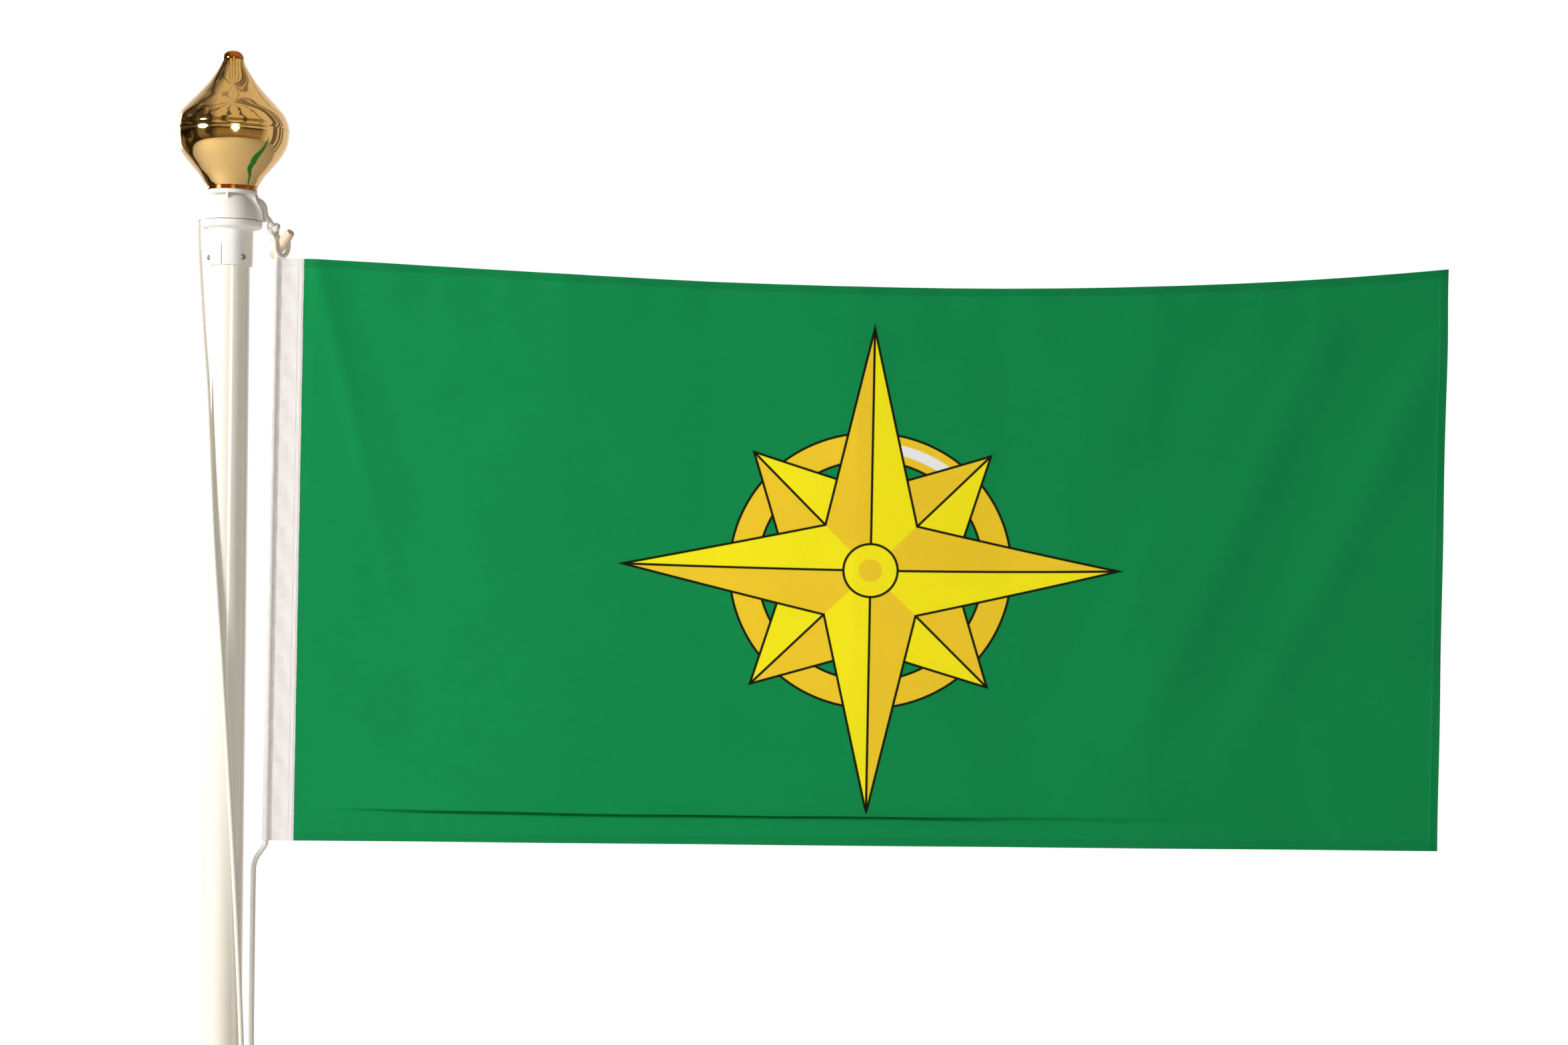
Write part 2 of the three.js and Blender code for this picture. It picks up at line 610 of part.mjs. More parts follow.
function toggle() {
  const half = toggleLength / 2;
  const [middle, end] = [toggleDiameter / 2, toggleEndDiameter / 2];
  return turned([
    [0, -half], [end - 1, -half], [end, -half + 1], [(middle + end) / 2 + 0.5, -half * 0.5], [middle, 0],
    [(middle + end) / 2 + 0.5, half * 0.5], [end, half - 1], [end - 1, half], [0, half],
  ], 16);
}

const toggleCentre = new THREE.Vector3(hoistTopX + 13.5, -3, flagTop + 21.5);
const toggleAxis = new THREE.Vector3(0.6, -0.46, 0.655).normalize();
const knotCentre = new THREE.Vector3(hoistTopX, 0, flagTop + 45);

add('hoist_band', hoistBand(), canvas);
add('flag_cloth', flagCloth(), bunting);
const togglePiece = add('toggle', toggle(), beech);
togglePiece.quaternion.setFromUnitVectors(new THREE.Vector3(0, 0, 1), toggleAxis);
togglePiece.position.copy(toggleCentre);

// ---------------------------------------------------------------- halyard
// Routes are lists of points, in mm.
const overTruck = (() => {
  const top = sheaveZ + sheaveGrooveRadius + ropeRadius;
  const bend = sheaveGrooveRadius + ropeRadius;
  const points = [];
  for (let i = 0; i <= 5; i += 1) {
    const a = Math.PI - (i * Math.PI) / 10;
    points.push([-sheaveX + bend * Math.cos(a), 0, sheaveZ + bend * Math.sin(a)]);
  }
  points.push([-sheaveX / 2, 0, top], [0, 0, top], [sheaveX / 2, 0, top]);
  for (let i = 5; i >= 0; i -= 1) {
    const a = (i * Math.PI) / 10;
    points.push([sheaveX + bend * Math.cos(a), 0, sheaveZ + bend * Math.sin(a)]);
  }
  return points;
})();

const leftFallRoute = [
  [-51.7, 0, 2502.8], [-51.7, -0.4, 2488], [-51.2, -1, 2466], [-46.5, -5, 2406], [-37, -13.5, 2300],
  [-28, -22, 2210], [-14, -32, 1990], [1.2, -35.4, 1798], [12.5, -33.4, 1634], [21, -29.6, 1500],
  [28.8, -24, 1350], [34.8, -19.5, 1213], [40, -16, 1090], [44, -13.5, 970], [45.5, -13.5, 908],
];
const hoistRopeEnds = [flagTop - 1, flagBottom + 1.4].map((z) => [hoistX(z) + sleeveRadius, 0, z]);
const upperFallRoute = [
  [64.7, 0, 1530], [63.6, -0.3, 1524], [58, -0.8, 1515], [51, -1.4, 1504], [47.2, -1.8, 1493],
  [46.3, -2, 1478], [46, -2, 1400], [46, -1.8, 1300], [46.5, -1.4, 1213], [49.5, 0, 1130], [52.6, 1.5, 1061],
];
const lowerFallRoute = [
  [52.6, 1.5, 1060], [54, 3.4, 1020], [54.4, 6.5, 980], [53.4, 9.6, 950], [51, 11.6, 925], [48, 12.4, 908],
];
const upperRopeRoute = [[51.7, 0, 2502.6], [52.6, 0, 2497], [55.5, 0, 2491.5], [59, 0, 2487.8]];

// Two strands from under the knot, round the toggle's waist.
const eyeRoute = (() => {
  const across = new THREE.Vector3(0.625, 0.78, 0);
  const low = toggleCentre.z - 18.2;
  const place = (side, z, x = toggleCentre.x, y = toggleCentre.y) =>
    [x + side * across.x, y + side * across.y, z];
  return [
    place(-4, knotCentre.z - knotHeight / 2 - 3.4, knotCentre.x + 1.5, -1), place(-11.5, toggleCentre.z + 11, toggleCentre.x - 5),
    place(-13.2, toggleCentre.z + 2), place(-12, toggleCentre.z - 9), place(-6, low + 1.2), place(0, low),
    place(6, low + 1.2), place(12, toggleCentre.z - 9), place(13.4, toggleCentre.z + 4),
    place(11.5, toggleCentre.z + 11, toggleCentre.x - 3), place(3.4, knotCentre.z - knotHeight / 2 - 3, knotCentre.x + 2.5, 1),
  ];
})();

add('halyard_over_truck', tube(overTruck, ropeDiameter, ropeDiameter), braid);
add('left_fall', tube(leftFallRoute, ropeDiameter), braid);
add('upper_fall', tube(upperFallRoute, ropeDiameter, 2 * ropeDiameter), braid);
add('lower_fall', tube(lowerFallRoute, ropeDiameter, 2 * ropeDiameter), braid);
add('upper_rope', tube(upperRopeRoute, ropeDiameter, ropeDiameter / 2), braid);
add('hoist_rope', tube(hoistRopeEnds, ropeDiameter), braid);
add('eye_loop', tube(eyeRoute, 0.7 * ropeDiameter, ropeDiameter / 2), braid);
const knot = add('eye_knot', new THREE.SphereGeometry(0.5, 16, 10).rotateX(Math.PI / 2)
  .scale(knotWidth, knotWidth * 0.85, knotHeight), braid);
knot.position.copy(knotCentre);

export default part;
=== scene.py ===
"""A flag on a short fibreglass flagpole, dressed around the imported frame.

Everything is in metres in the frame's own axes: +Z up the pole, +X the way the flag
flies, +Y the side the pole is lowered to.
"""

from __future__ import annotations

import json
import logging
import math
from collections.abc import Iterator, Sequence
from contextlib import contextmanager
from dataclasses import dataclass
from enum import Enum

import bpy
import numpy as np
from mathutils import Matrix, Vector

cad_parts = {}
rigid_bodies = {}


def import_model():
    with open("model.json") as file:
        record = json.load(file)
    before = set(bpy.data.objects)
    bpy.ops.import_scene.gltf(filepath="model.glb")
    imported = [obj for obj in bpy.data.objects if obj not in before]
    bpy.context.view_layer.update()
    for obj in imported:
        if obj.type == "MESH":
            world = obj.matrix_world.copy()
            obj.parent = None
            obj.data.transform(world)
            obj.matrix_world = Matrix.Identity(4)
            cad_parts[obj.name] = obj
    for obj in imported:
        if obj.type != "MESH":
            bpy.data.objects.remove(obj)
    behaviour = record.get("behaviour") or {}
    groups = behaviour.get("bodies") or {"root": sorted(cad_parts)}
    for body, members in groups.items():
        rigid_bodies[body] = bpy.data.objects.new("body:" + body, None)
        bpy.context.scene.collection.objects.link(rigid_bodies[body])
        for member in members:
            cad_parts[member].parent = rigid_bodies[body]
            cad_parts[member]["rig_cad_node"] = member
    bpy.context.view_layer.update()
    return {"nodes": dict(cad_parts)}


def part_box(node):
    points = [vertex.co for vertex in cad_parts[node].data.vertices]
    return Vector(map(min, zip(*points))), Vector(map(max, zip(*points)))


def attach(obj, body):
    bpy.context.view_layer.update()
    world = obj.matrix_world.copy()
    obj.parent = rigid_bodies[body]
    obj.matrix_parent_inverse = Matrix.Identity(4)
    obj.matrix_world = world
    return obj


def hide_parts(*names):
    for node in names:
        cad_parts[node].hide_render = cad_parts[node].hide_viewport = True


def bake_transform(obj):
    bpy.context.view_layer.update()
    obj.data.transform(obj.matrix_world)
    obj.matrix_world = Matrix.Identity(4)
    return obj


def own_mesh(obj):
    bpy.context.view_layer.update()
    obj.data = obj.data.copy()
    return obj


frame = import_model()
LOG = logging.getLogger("flagpole")
MM = 0.001

Piece = bpy.types.Object
Material = bpy.types.Material
Tree = bpy.types.NodeTree
Node = bpy.types.Node
Socket = bpy.types.NodeSocket
Point = tuple[float, float, float]
Profile = list[tuple[float, float]]
MATH = "ShaderNodeMath"
RANGE = "ShaderNodeMapRange"
MIX = "ShaderNodeMix"
NOISE = "ShaderNodeTexNoise"
BSDF = "ShaderNodeBsdfPrincipled"


# ---- modelling helpers
def deselect() -> None:
    """Deselects every object."""
    bpy.ops.object.select_all(action="DESELECT")


def focus(piece: Piece) -> Piece:
    """Selects one object alone and makes it active.

    Args:
        piece: The object to work on.

    Returns:
        The same object.
    """
    deselect()
    piece.select_set(True)
    bpy.context.view_layer.objects.active = piece
    return piece


@contextmanager
def editing(piece: Piece) -> Iterator[None]:
    """Opens one object in edit mode with all of it selected, and closes it again.

    Args:
        piece: The object to edit.

    Yields:
        Nothing; the edit operators act on the piece meanwhile.
    """
    focus(piece)
    bpy.ops.object.mode_set(mode="EDIT")
    bpy.ops.mesh.select_all(action="SELECT")
    yield
    bpy.ops.object.mode_set(mode="OBJECT")


def named(name: str) -> Piece:
    """Gives the primitive just added its name.

    Args:
        name: The piece's name.

    Returns:
        The piece, with its mesh named alike.
    """
    piece = bpy.context.object
    piece.name = name
    piece.data.name = name
    return piece


def settle(piece: Piece) -> Piece:
    """Moves a piece's place, turn and scale into its mesh.

    Args:
        piece: The piece to settle.

    Returns:
        The same piece, its object at the origin.
    """
    focus(piece)
    bpy.ops.object.transform_apply(location=True, rotation=True, scale=True)
    piece.rotation_mode = "XYZ"
    return piece


def modify(piece: Piece, kind: str, **settings: object) -> Piece:
    """Adds a modifier with its settings and applies it.

    Args:
        piece: The piece to modify.
        kind: Blender's name for the modifier type.
        **settings: The modifier's own settings.

    Returns:
        The same piece.
    """
    focus(piece)
    modifier = piece.modifiers.new(kind.title(), kind)
    for key, value in settings.items():
        setattr(modifier, key, value)
    bpy.ops.object.modifier_apply(modifier=modifier.name)
    return piece


def close_up(piece: Piece, sharp: float = 35.0) -> Piece:
    """Merges doubles, turns the faces outwards and smooths all but sharp edges.

    Args:
        piece: The piece to finish.
        sharp: The angle in degrees above which an edge stays sharp.

    Returns:
        The same piece.
    """
    with editing(piece):
        bpy.ops.mesh.remove_doubles(threshold=1e-6)
        bpy.ops.mesh.dissolve_degenerate(threshold=1e-7)
        bpy.ops.mesh.select_all(action="SELECT")
        bpy.ops.mesh.normals_make_consistent(inside=False)
    focus(piece)
    bpy.ops.object.shade_smooth_by_angle(angle=math.radians(sharp))
    return piece


def cut(piece: Piece, *tools: Piece) -> Piece:
    """Cuts tools out of a piece and removes them.

    Args:
        piece: The piece to cut.
        *tools: Closed meshes, used up by the cut.

    Returns:
        The same piece.
    """
    for tool in tools:
        modify(piece, "BOOLEAN", operation="DIFFERENCE", object=tool, solver="EXACT")
        bpy.data.objects.remove(tool)
    return piece


def fuse(piece: Piece, *others: Piece) -> Piece:
    """Joins other closed pieces to a piece as one solid.

    Args:
        piece: The piece that keeps its name.
        *others: Closed meshes, used up by the join.

    Returns:
        The same piece.
    """
    for other in others:
        modify(piece, "BOOLEAN", operation="UNION", object=other, solver="EXACT")
        bpy.data.objects.remove(other)
    return piece


def spun(name: str, profile: Profile, segments: int = 128) -> Piece:
    """Spins a profile of radius and height about the Z axis.

    Args:
        name: The piece's name.
        profile: Points along the outline, in metres; it starts and ends on the axis
            or comes back to its first point.
        segments: Steps round the full turn.

    Returns:
        A closed, smooth-shaded piece.
    """
    deselect()
    bpy.ops.mesh.primitive_circle_add(vertices=3, radius=1e-4)
    piece = named(name)
    ring = list(profile)
    if ring[0][0] > 0 or ring[-1][0] > 0:
        ring.append(ring[0])
    with editing(piece):
        bpy.ops.mesh.merge(type="CENTER")
        bpy.ops.mesh.select_all(action="SELECT")
        bpy.ops.transform.translate(value=(ring[0][0], 0, ring[0][1]))
        for (r0, z0), (r1, z1) in zip(ring, ring[1:]):
            bpy.ops.mesh.extrude_region_move(TRANSFORM_OT_translate={"value": (r1 - r0, 0, z1 - z0)})
        bpy.ops.mesh.select_all(action="SELECT")
        bpy.ops.mesh.remove_doubles(threshold=1e-7)
        bpy.ops.mesh.select_all(action="SELECT")
        bpy.ops.mesh.spin(steps=segments, angle=math.tau, center=(0, 0, 0), axis=(0, 0, 1))
    return close_up(piece)


def bar(name: str, diameter: float, start: Point, end: Point, sides: int = 48) -> Piece:
    """Adds a round bar between two points.

    Args:
        name: The piece's name.
        diameter: The bar's diameter in metres.
        start: One end's centre.
        end: The other end's centre.
        sides: Faces round the bar.

    Returns:
        The settled bar.
    """
    a, b = Vector(start), Vector(end)
    deselect()
    bpy.ops.mesh.primitive_cylinder_add(
        vertices=sides, radius=diameter / 2, depth=(b - a).length, location=(a + b) / 2
    )
    piece = named(name)
    piece.rotation_mode = "QUATERNION"
    piece.rotation_quaternion = (b - a).to_track_quat("Z", "Y")
    return settle(piece)


def block(name: str, low: Point, high: Point) -> Piece:
    """Adds a box between two corners.

    Args:
        name: The piece's name.
        low: The lowest corner.
        high: The highest corner.

    Returns:
        The settled box.
    """
    a, b = Vector(low), Vector(high)
    deselect()
    bpy.ops.mesh.primitive_cube_add(size=1, location=(a + b) / 2, scale=b - a)
    return settle(named(name))


def turn(piece: Piece, degrees: float) -> Piece:
    """Turns a piece about the pole's axis.

    Args:
        piece: The piece, settled at the origin.
        degrees: The angle, counter-clockwise from above.

    Returns:
        The settled piece.
    """
    piece.rotation_euler = (0, 0, math.radians(degrees))
    return settle(piece)


def duplicate(piece: Piece, name: str) -> Piece:
    """Copies a piece with a mesh of its own.

    Args:
        piece: The piece to copy.
        name: The copy's name.

    Returns:
        The copy.
    """
    focus(piece)
    bpy.ops.object.duplicate(linked=False)
    return named(name)


def machined(node: str, bevel: float, segments: int = 3) -> Piece:
    """Copies a CAD node and breaks its edges, as a deburred or cast piece has them.

    Args:
        node: The CAD node's name.
        bevel: The edge radius in metres.
        segments: Steps round each edge.

    Returns:
        A piece that replaces the node.
    """
    source = frame["nodes"][node]
    piece = bpy.data.objects.new(node + "_finished", source.data.copy())
    bpy.context.scene.collection.objects.link(piece)
    piece.data.materials.clear()
    with editing(piece):
        bpy.ops.mesh.remove_doubles(threshold=1e-6)
        bpy.ops.mesh.dissolve_limited(angle_limit=math.radians(1))
    modify(
        piece,
        "BEVEL",
        width=bevel,
        segments=segments,
        limit_method="ANGLE",
        angle_limit=math.radians(32),
        use_clamp_overlap=True,
    )
    focus(piece)
    bpy.ops.object.shade_smooth_by_angle(angle=math.radians(40))
    return piece


def rounded(corners: Sequence[tuple[float, float, float]], steps: int = 6) -> Profile:
    """Rounds the corners of a profile.

    Args:
        corners: Radius, height and corner radius of each corner, in metres.
        steps: Points round each rounded corner.

    Returns:
        The profile's points.
    """
    points: Profile = []
    last = len(corners) - 1
    for i, (x, y, r) in enumerate(corners):
        if r <= 0 or i in (0, last):
            points.append((x, y))
            continue
        here = Vector((x, y))
        before = Vector(corners[i - 1][:2]) - here
        after = Vector(corners[i + 1][:2]) - here
        reach = min(r, 0.49 * before.length, 0.49 * after.length)
        start, end = here + before.normalized() * reach, here + after.normalized() * reach
        for k in range(steps + 1):
            t = k / steps
            spot = start * (1 - t) ** 2 + here * 2 * t * (1 - t) + end * t * t
            points.append((spot.x, spot.y))
    return points


def curved(points: Sequence[Sequence[float]], count: int) -> np.ndarray:
    """Runs a smooth curve through points, evenly spaced along its length.

    Args:
        points: Points of any dimension.
        count: How many points to return.

    Returns:
        An array of the new points, the first and last as given.
    """
    p = np.array(points, float)
    p = np.vstack([2 * p[0] - p[1], p, 2 * p[-1] - p[-2]])
    fine = []
    for a, b, c, d in zip(p, p[1:], p[2:], p[3:]):
        t = np.linspace(0, 1, 24, endpoint=False)[:, None]
        fine.append(0.5 * (2 * b + (c - a) * t + (2 * a - 5 * b + 4 * c - d) * t**2 + (3 * b - a - 3 * c + d) * t**3))
    line = np.vstack([*fine, p[-2][None]])
    along = np.concatenate([[0], np.cumsum(np.linalg.norm(np.diff(line, axis=0), axis=1))])
    spots = np.linspace(0, along[-1], count)
    return np.stack([np.interp(spots, along, line[:, k]) for k in range(p.shape[1])], 1)


def grid_mesh(name: str, rows: np.ndarray, uv: np.ndarray, closed: bool = False, capped: bool = False) -> Piece:
    """Makes a mesh from a grid of points, with a UV map.

    Args:
        name: The piece's name.
        rows: Points, shaped rows by columns by 3.
        uv: Map coordinates, shaped rows by columns (plus one if closed) by 2.
        closed: Whether each row closes on itself.
        capped: Whether the first and last rows are filled.

    Returns:
        The piece, linked to the scene.
    """
    n, m = rows.shape[:2]
    faces, corners = [], []
    for i in range(n - 1):
        for j in range(m if closed else m - 1):
            k = (j + 1) % m
            faces.append((i * m + j, i * m + k, (i + 1) * m + k, (i + 1) * m + j))
            corners += [(i, j), (i, j + 1), (i + 1, j + 1), (i + 1, j)]
    if capped:
        faces.append(tuple(range(m))[::-1])
        corners += [(0, j) for j in range(m)][::-1]
        faces.append(tuple((n - 1) * m + j for j in range(m)))
        corners += [(n - 1, j) for j in range(m)]
    mesh = bpy.data.meshes.new(name)
    mesh.from_pydata(rows.reshape(-1, 3).tolist(), [], faces)
    layer = mesh.uv_layers.new(name="UVMap")
    layer.data.foreach_set("uv", np.array([uv[c] for c in corners], np.float32).ravel())
    piece = bpy.data.objects.new(name, mesh)
    bpy.context.scene.collection.objects.link(piece)
    focus(piece)
    bpy.ops.object.shade_smooth()
    return piece


# ---- material helpers
def linear(colour: str) -> tuple[float, float, float, float]:
    """Turns an sRGB hex colour into linear light.

    Args:
        colour: Six hex digits after a hash.

    Returns:
        Red, green, blue and an alpha of 1.
    """
    parts = [int(colour[i : i + 2], 16) / 255 for i in (1, 3, 5)]
    r, g, b = (c / 12.92 if c <= 0.04045 else ((c + 0.055) / 1.055) ** 2.4 for c in parts)
    return r, g, b, 1.0


def add(tree: Tree, kind: str, inputs: dict[int | str, object] | Sequence[object] = (), **settings: object) -> Node:
    """Adds a shader node with its settings and links.

    Args:
        tree: The node tree.
        kind: Blender's name for the node type.
        inputs: Values, sockets or nodes for the node's inputs, by name or in order.
        **settings: The node's own settings.

    Returns:
        The new node.
    """
    node = tree.nodes.new(kind)
    for key, value in settings.items():
        setattr(node, key, value)
    return feed(tree, node, inputs)


def feed(tree: Tree, node: Node, inputs: dict[int | str, object] | Sequence[object]) -> Node:
    """Links sockets to a node's inputs and sets plain values on them.

    Args:
        tree: The node tree.
        node: The node to feed.
        inputs: Values, sockets or nodes for the node's inputs, by name or in order.

    Returns:
        The same node.
    """
    pairs = inputs.items() if isinstance(inputs, dict) else enumerate(inputs)
    for key, value in pairs:
        if isinstance(value, Node):
            value = value.outputs[0]
        if isinstance(value, Socket):
            tree.links.new(value, node.inputs[key])
        else:
            node.inputs[key].default_value = value
    return node


def blended(tree: Tree, share: object, under: object, over: object) -> Socket:
    """Lays one colour over another by a share.

    Args:
        tree: The node tree.
        share: How much of the upper colour shows, a value, node or socket.
        under: The lower colour.
        over: The upper colour.

    Returns:
        The mixed colour's socket.
    """
    mix = add(tree, MIX, {0: share, 6: under, 7: over}, data_type="RGBA")
    return mix.outputs[2]


@dataclass(frozen=True)
class Finish:
    """What every finish shares: a name and a shader on an empty tree."""

    name: str

    def start(self) -> tuple[Material, Tree, Node]:
        """Makes an empty material with a shader and its output.

        Returns:
            The material, its tree and its shader node.
        """
        material = bpy.data.materials.new(self.name)
        material.use_nodes = True
        tree = material.node_tree
        tree.nodes.clear()
        shader = add(tree, BSDF)
        add(tree, "ShaderNodeOutputMaterial", [shader])
        return material, tree, shader

    def build(self) -> Material:
        """Builds the material."""
        raise NotImplementedError


@dataclass(frozen=True)
class Gloss(Finish):
    """Gelcoat or injection-moulded plastic: smooth, with soft mottling and faint dust."""

    colour: str = "#f4f2ee"
    shade: str = "#e6e1d8"
    roughness: float = 0.22
    wave_mm: float = 9.0
    ripple: float = 0.02
    coat: float = 0.0

    def build(self) -> Material:
        """Builds the material."""
        material, tree, shader = self.start()
        place = add(tree, "ShaderNodeTexCoord").outputs["Object"]
        cloud = add(tree, NOISE, {"Vector": place, "Scale": 1 / (6 * self.wave_mm * MM), "Detail": 3.0})
        dust = add(tree, NOISE, {"Vector": place, "Scale": 1 / (0.9 * MM), "Detail": 2.0})
        tint = add(tree, MATH, [cloud.outputs[0], 0.35], operation="MULTIPLY")
        colour = blended(tree, tint, linear(self.colour), linear(self.shade))
        feed(tree, shader, {"Base Color": colour})
        speck = add(tree, RANGE, {0: dust.outputs[0], 1: 0.35, 2: 0.75, 3: self.roughness, 4: self.roughness + 0.12})
        feed(tree, shader, {"Roughness": speck})
        swell = add(tree, NOISE, {"Vector": place, "Scale": 1 / (self.wave_mm * MM), "Detail": 1.0})
        bump = add(
            tree,
            "ShaderNodeBump",
            {"Strength": self.ripple, "Distance": 1.0 * MM, "Height": swell.outputs[0]},
        )
        feed(tree, shader, {"Normal": bump, "IOR": 1.5, "Coat Weight": self.coat, "Coat Roughness": 0.05})
        return material


@dataclass(frozen=True)
class Metallised(Finish):
    """Vacuum-metallised plastic: a mirror with a faint orange peel and hairline scratches."""

    colour: str = "#dcb878"
    edge: str = "#a4713a"
    roughness: float = 0.06

    def build(self) -> Material:
        """Builds the material."""
        material, tree, shader = self.start()
        place = add(tree, "ShaderNodeTexCoord").outputs["Object"]
        cloud = add(tree, NOISE, {"Vector": place, "Scale": 1 / (45 * MM), "Detail": 4.0})
        # painted sheen: the colour pales towards #e9cfa4 as the surface turns away from the camera, standing in for
        # light reflected at grazing angles
        rim = add(tree, "ShaderNodeLayerWeight", {"Blend": 0.2})
        share = add(tree, MATH, [rim.outputs["Facing"], 0.45], operation="MULTIPLY")
        mottled = blended(
            tree,
            add(tree, MATH, [cloud.outputs[0], 0.25], operation="MULTIPLY"),
            linear(self.colour),
            linear(self.edge),
        )
        colour = blended(tree, share, mottled, linear("#e9cfa4"))
        feed(tree, shader, {"Base Color": colour})
        scratch = add(tree, NOISE, {"Vector": place, "Scale": 1 / (1.4 * MM), "Detail": 6.0, "Distortion": 2.0})
        rough = add(tree, RANGE, {0: scratch.outputs[0], 1: 0.45, 2: 0.8, 3: self.roughness, 4: self.roughness + 0.1})
        feed(tree, shader, {"Roughness": rough})
        peel = add(tree, NOISE, {"Vector": place, "Scale": 1 / (22 * MM), "Detail": 1.5})
        bump = add(tree, "ShaderNodeBump", {"Strength": 0.06, "Distance": 1.0 * MM, "Height": peel.outputs[0]})
        feed(tree, shader, {"Normal": bump, "Metallic": 1.0})
        return material


@dataclass(frozen=True)
class BareMetal(Finish):
    """Galvanised steel, cast aluminium or stainless: grained metal with dull patches."""

    colour: str = "#9a9d9f"
    dull: str = "#74787a"
    roughness: float = 0.45
    grain_mm: float = 6.0
    relief: float = 0.25
    spangled: bool = False

    def build(self) -> Material:
        """Builds the material."""
        material, tree, shader = self.start()
        place = add(tree, "ShaderNodeTexCoord").outputs["Object"]
        if self.spangled:
            cells = add(tree, "ShaderNodeTexVoronoi", {"Vector": place, "Scale": 1 / (self.grain_mm * MM)})
            pattern = add(tree, "ShaderNodeSeparateColor", [cells.outputs["Color"]]).outputs[0]
        else:
            pattern = add(tree, NOISE, {"Vector": place, "Scale": 1 / (self.grain_mm * MM), "Detail": 5.0}).outputs[0]
        wear = add(tree, NOISE, {"Vector": place, "Scale": 1 / (60 * MM), "Detail": 6.0})
        share = add(tree, MATH, [pattern, wear.outputs[0]], operation="MULTIPLY")
        share = add(tree, MATH, [share, 1.6], operation="MULTIPLY", use_clamp=True)
        colour = blended(tree, share, linear(self.colour), linear(self.dull))
        feed(tree, shader, {"Base Color": colour})
        rough = add(tree, RANGE, {0: pattern, 1: 0.0, 2: 1.0, 3: self.roughness - 0.08, 4: self.roughness + 0.14})
        feed(tree, shader, {"Roughness": rough})
        fine = add(tree, NOISE, {"Vector": place, "Scale": 1 / (0.8 * MM), "Detail": 3.0})
        bump = add(
            tree,
            "ShaderNodeBump",
            {"Strength": self.relief, "Distance": 0.15 * MM, "Height": fine.outputs[0]},
        )
        feed(tree, shader, {"Normal": bump, "Metallic": 1.0})
        return material


@dataclass(frozen=True)
class BraidedYarn(Finish):
    """Spun polyester halyard: matt, with yarn fibres and painted shade in the hollows.

    The map runs along the rope in metres and once round it.
    """

    colour: str = "#faf7f1"
    shade: str = "#c4b796"
    strands: int = 8
    pitch_mm: float = 35.0

    def build(self) -> Material:
        """Builds the material."""
        material, tree, shader = self.start()
        spot = add(tree, "ShaderNodeUVMap", uv_map="UVMap")
        axes = add(tree, "ShaderNodeSeparateXYZ", [spot])
        along = add(
            tree, MATH, [axes.outputs[0], math.tau * self.strands / (self.pitch_mm * MM)], operation="MULTIPLY"
        )
        round_it = add(tree, MATH, [axes.outputs[1], math.tau * self.strands], operation="MULTIPLY")
        waves = []
        for way in ("ADD", "SUBTRACT"):
            phase = add(tree, MATH, [round_it, along], operation=way)
            wave = add(tree, MATH, [phase], operation="COSINE")
            waves.append(add(tree, MATH, [wave, 0.5, 0.5], operation="MULTIPLY_ADD"))
        ridge = add(tree, MATH, [waves[0], waves[1]], operation="MAXIMUM")
        # painted shade: the hollows between the strands take the darker shade colour, standing in for the shade that
        # falls there
        hollow = add(tree, RANGE, {0: ridge, 1: 0.25, 2: 0.85, 3: 0.85, 4: 0.0})
        colour = blended(tree, hollow.outputs[0], linear(self.colour), linear(self.shade))
        stretched = add(tree, "ShaderNodeMapping", {"Vector": spot, "Scale": (900.0, 260.0, 1.0)})
        yarn = add(tree, NOISE, {"Vector": stretched, "Scale": 1.0, "Detail": 4.0})
        colour = blended(
            tree,
            add(tree, MATH, [yarn.outputs[0], 0.22], operation="MULTIPLY"),
            colour,
            linear("#cfc6b6"),
        )
        feed(tree, shader, {"Base Color": colour, "Roughness": 0.8, "Sheen Weight": 0.25})
        bump = add(tree, "ShaderNodeBump", {"Strength": 0.5, "Distance": 0.25 * MM, "Height": yarn.outputs[0]})
        feed(tree, shader, {"Normal": bump})
        return material


@dataclass(frozen=True)
class BareWood(Finish):
    """Turned and sanded beech: short dark flecks along a pale, even grain."""

    colour: str = "#f5dfc9"
    grain: str = "#dcb491"
    axis: Point = (0.6, -0.46, 0.655)

    def build(self) -> Material:
        """Builds the material."""
        material, tree, shader = self.start()
        place = add(tree, "ShaderNodeTexCoord").outputs["Object"]
        tilt = Vector(self.axis).to_track_quat("Z", "Y").inverted().to_euler()
        spot = add(tree, "ShaderNodeMapping", {"Vector": place, "Rotation": tuple(tilt)})
        long_grain = add(tree, "ShaderNodeMapping", {"Vector": spot, "Scale": (700.0, 700.0, 60.0)})
        bands = add(tree, NOISE, {"Vector": long_grain, "Scale": 1.0, "Detail": 5.0})
        flecks = add(tree, "ShaderNodeMapping", {"Vector": spot, "Scale": (2200.0, 2200.0, 350.0)})
        fleck = add(tree, NOISE, {"Vector": flecks, "Scale": 1.0, "Detail": 2.0})
        dark = add(tree, RANGE, {0: fleck.outputs[0], 1: 0.58, 2: 0.7, 3: 0.0, 4: 0.55})
        colour = blended(tree, bands.outputs[0], linear(self.colour), linear(self.grain))
        colour = blended(tree, dark.outputs[0], colour, linear("#b98a63"))
        feed(tree, shader, {"Base Color": colour, "Roughness": 0.55})
        bump = add(tree, "ShaderNodeBump", {"Strength": 0.25, "Distance": 0.2 * MM, "Height": fleck.outputs[0]})
        feed(tree, shader, {"Normal": bump})
        return material


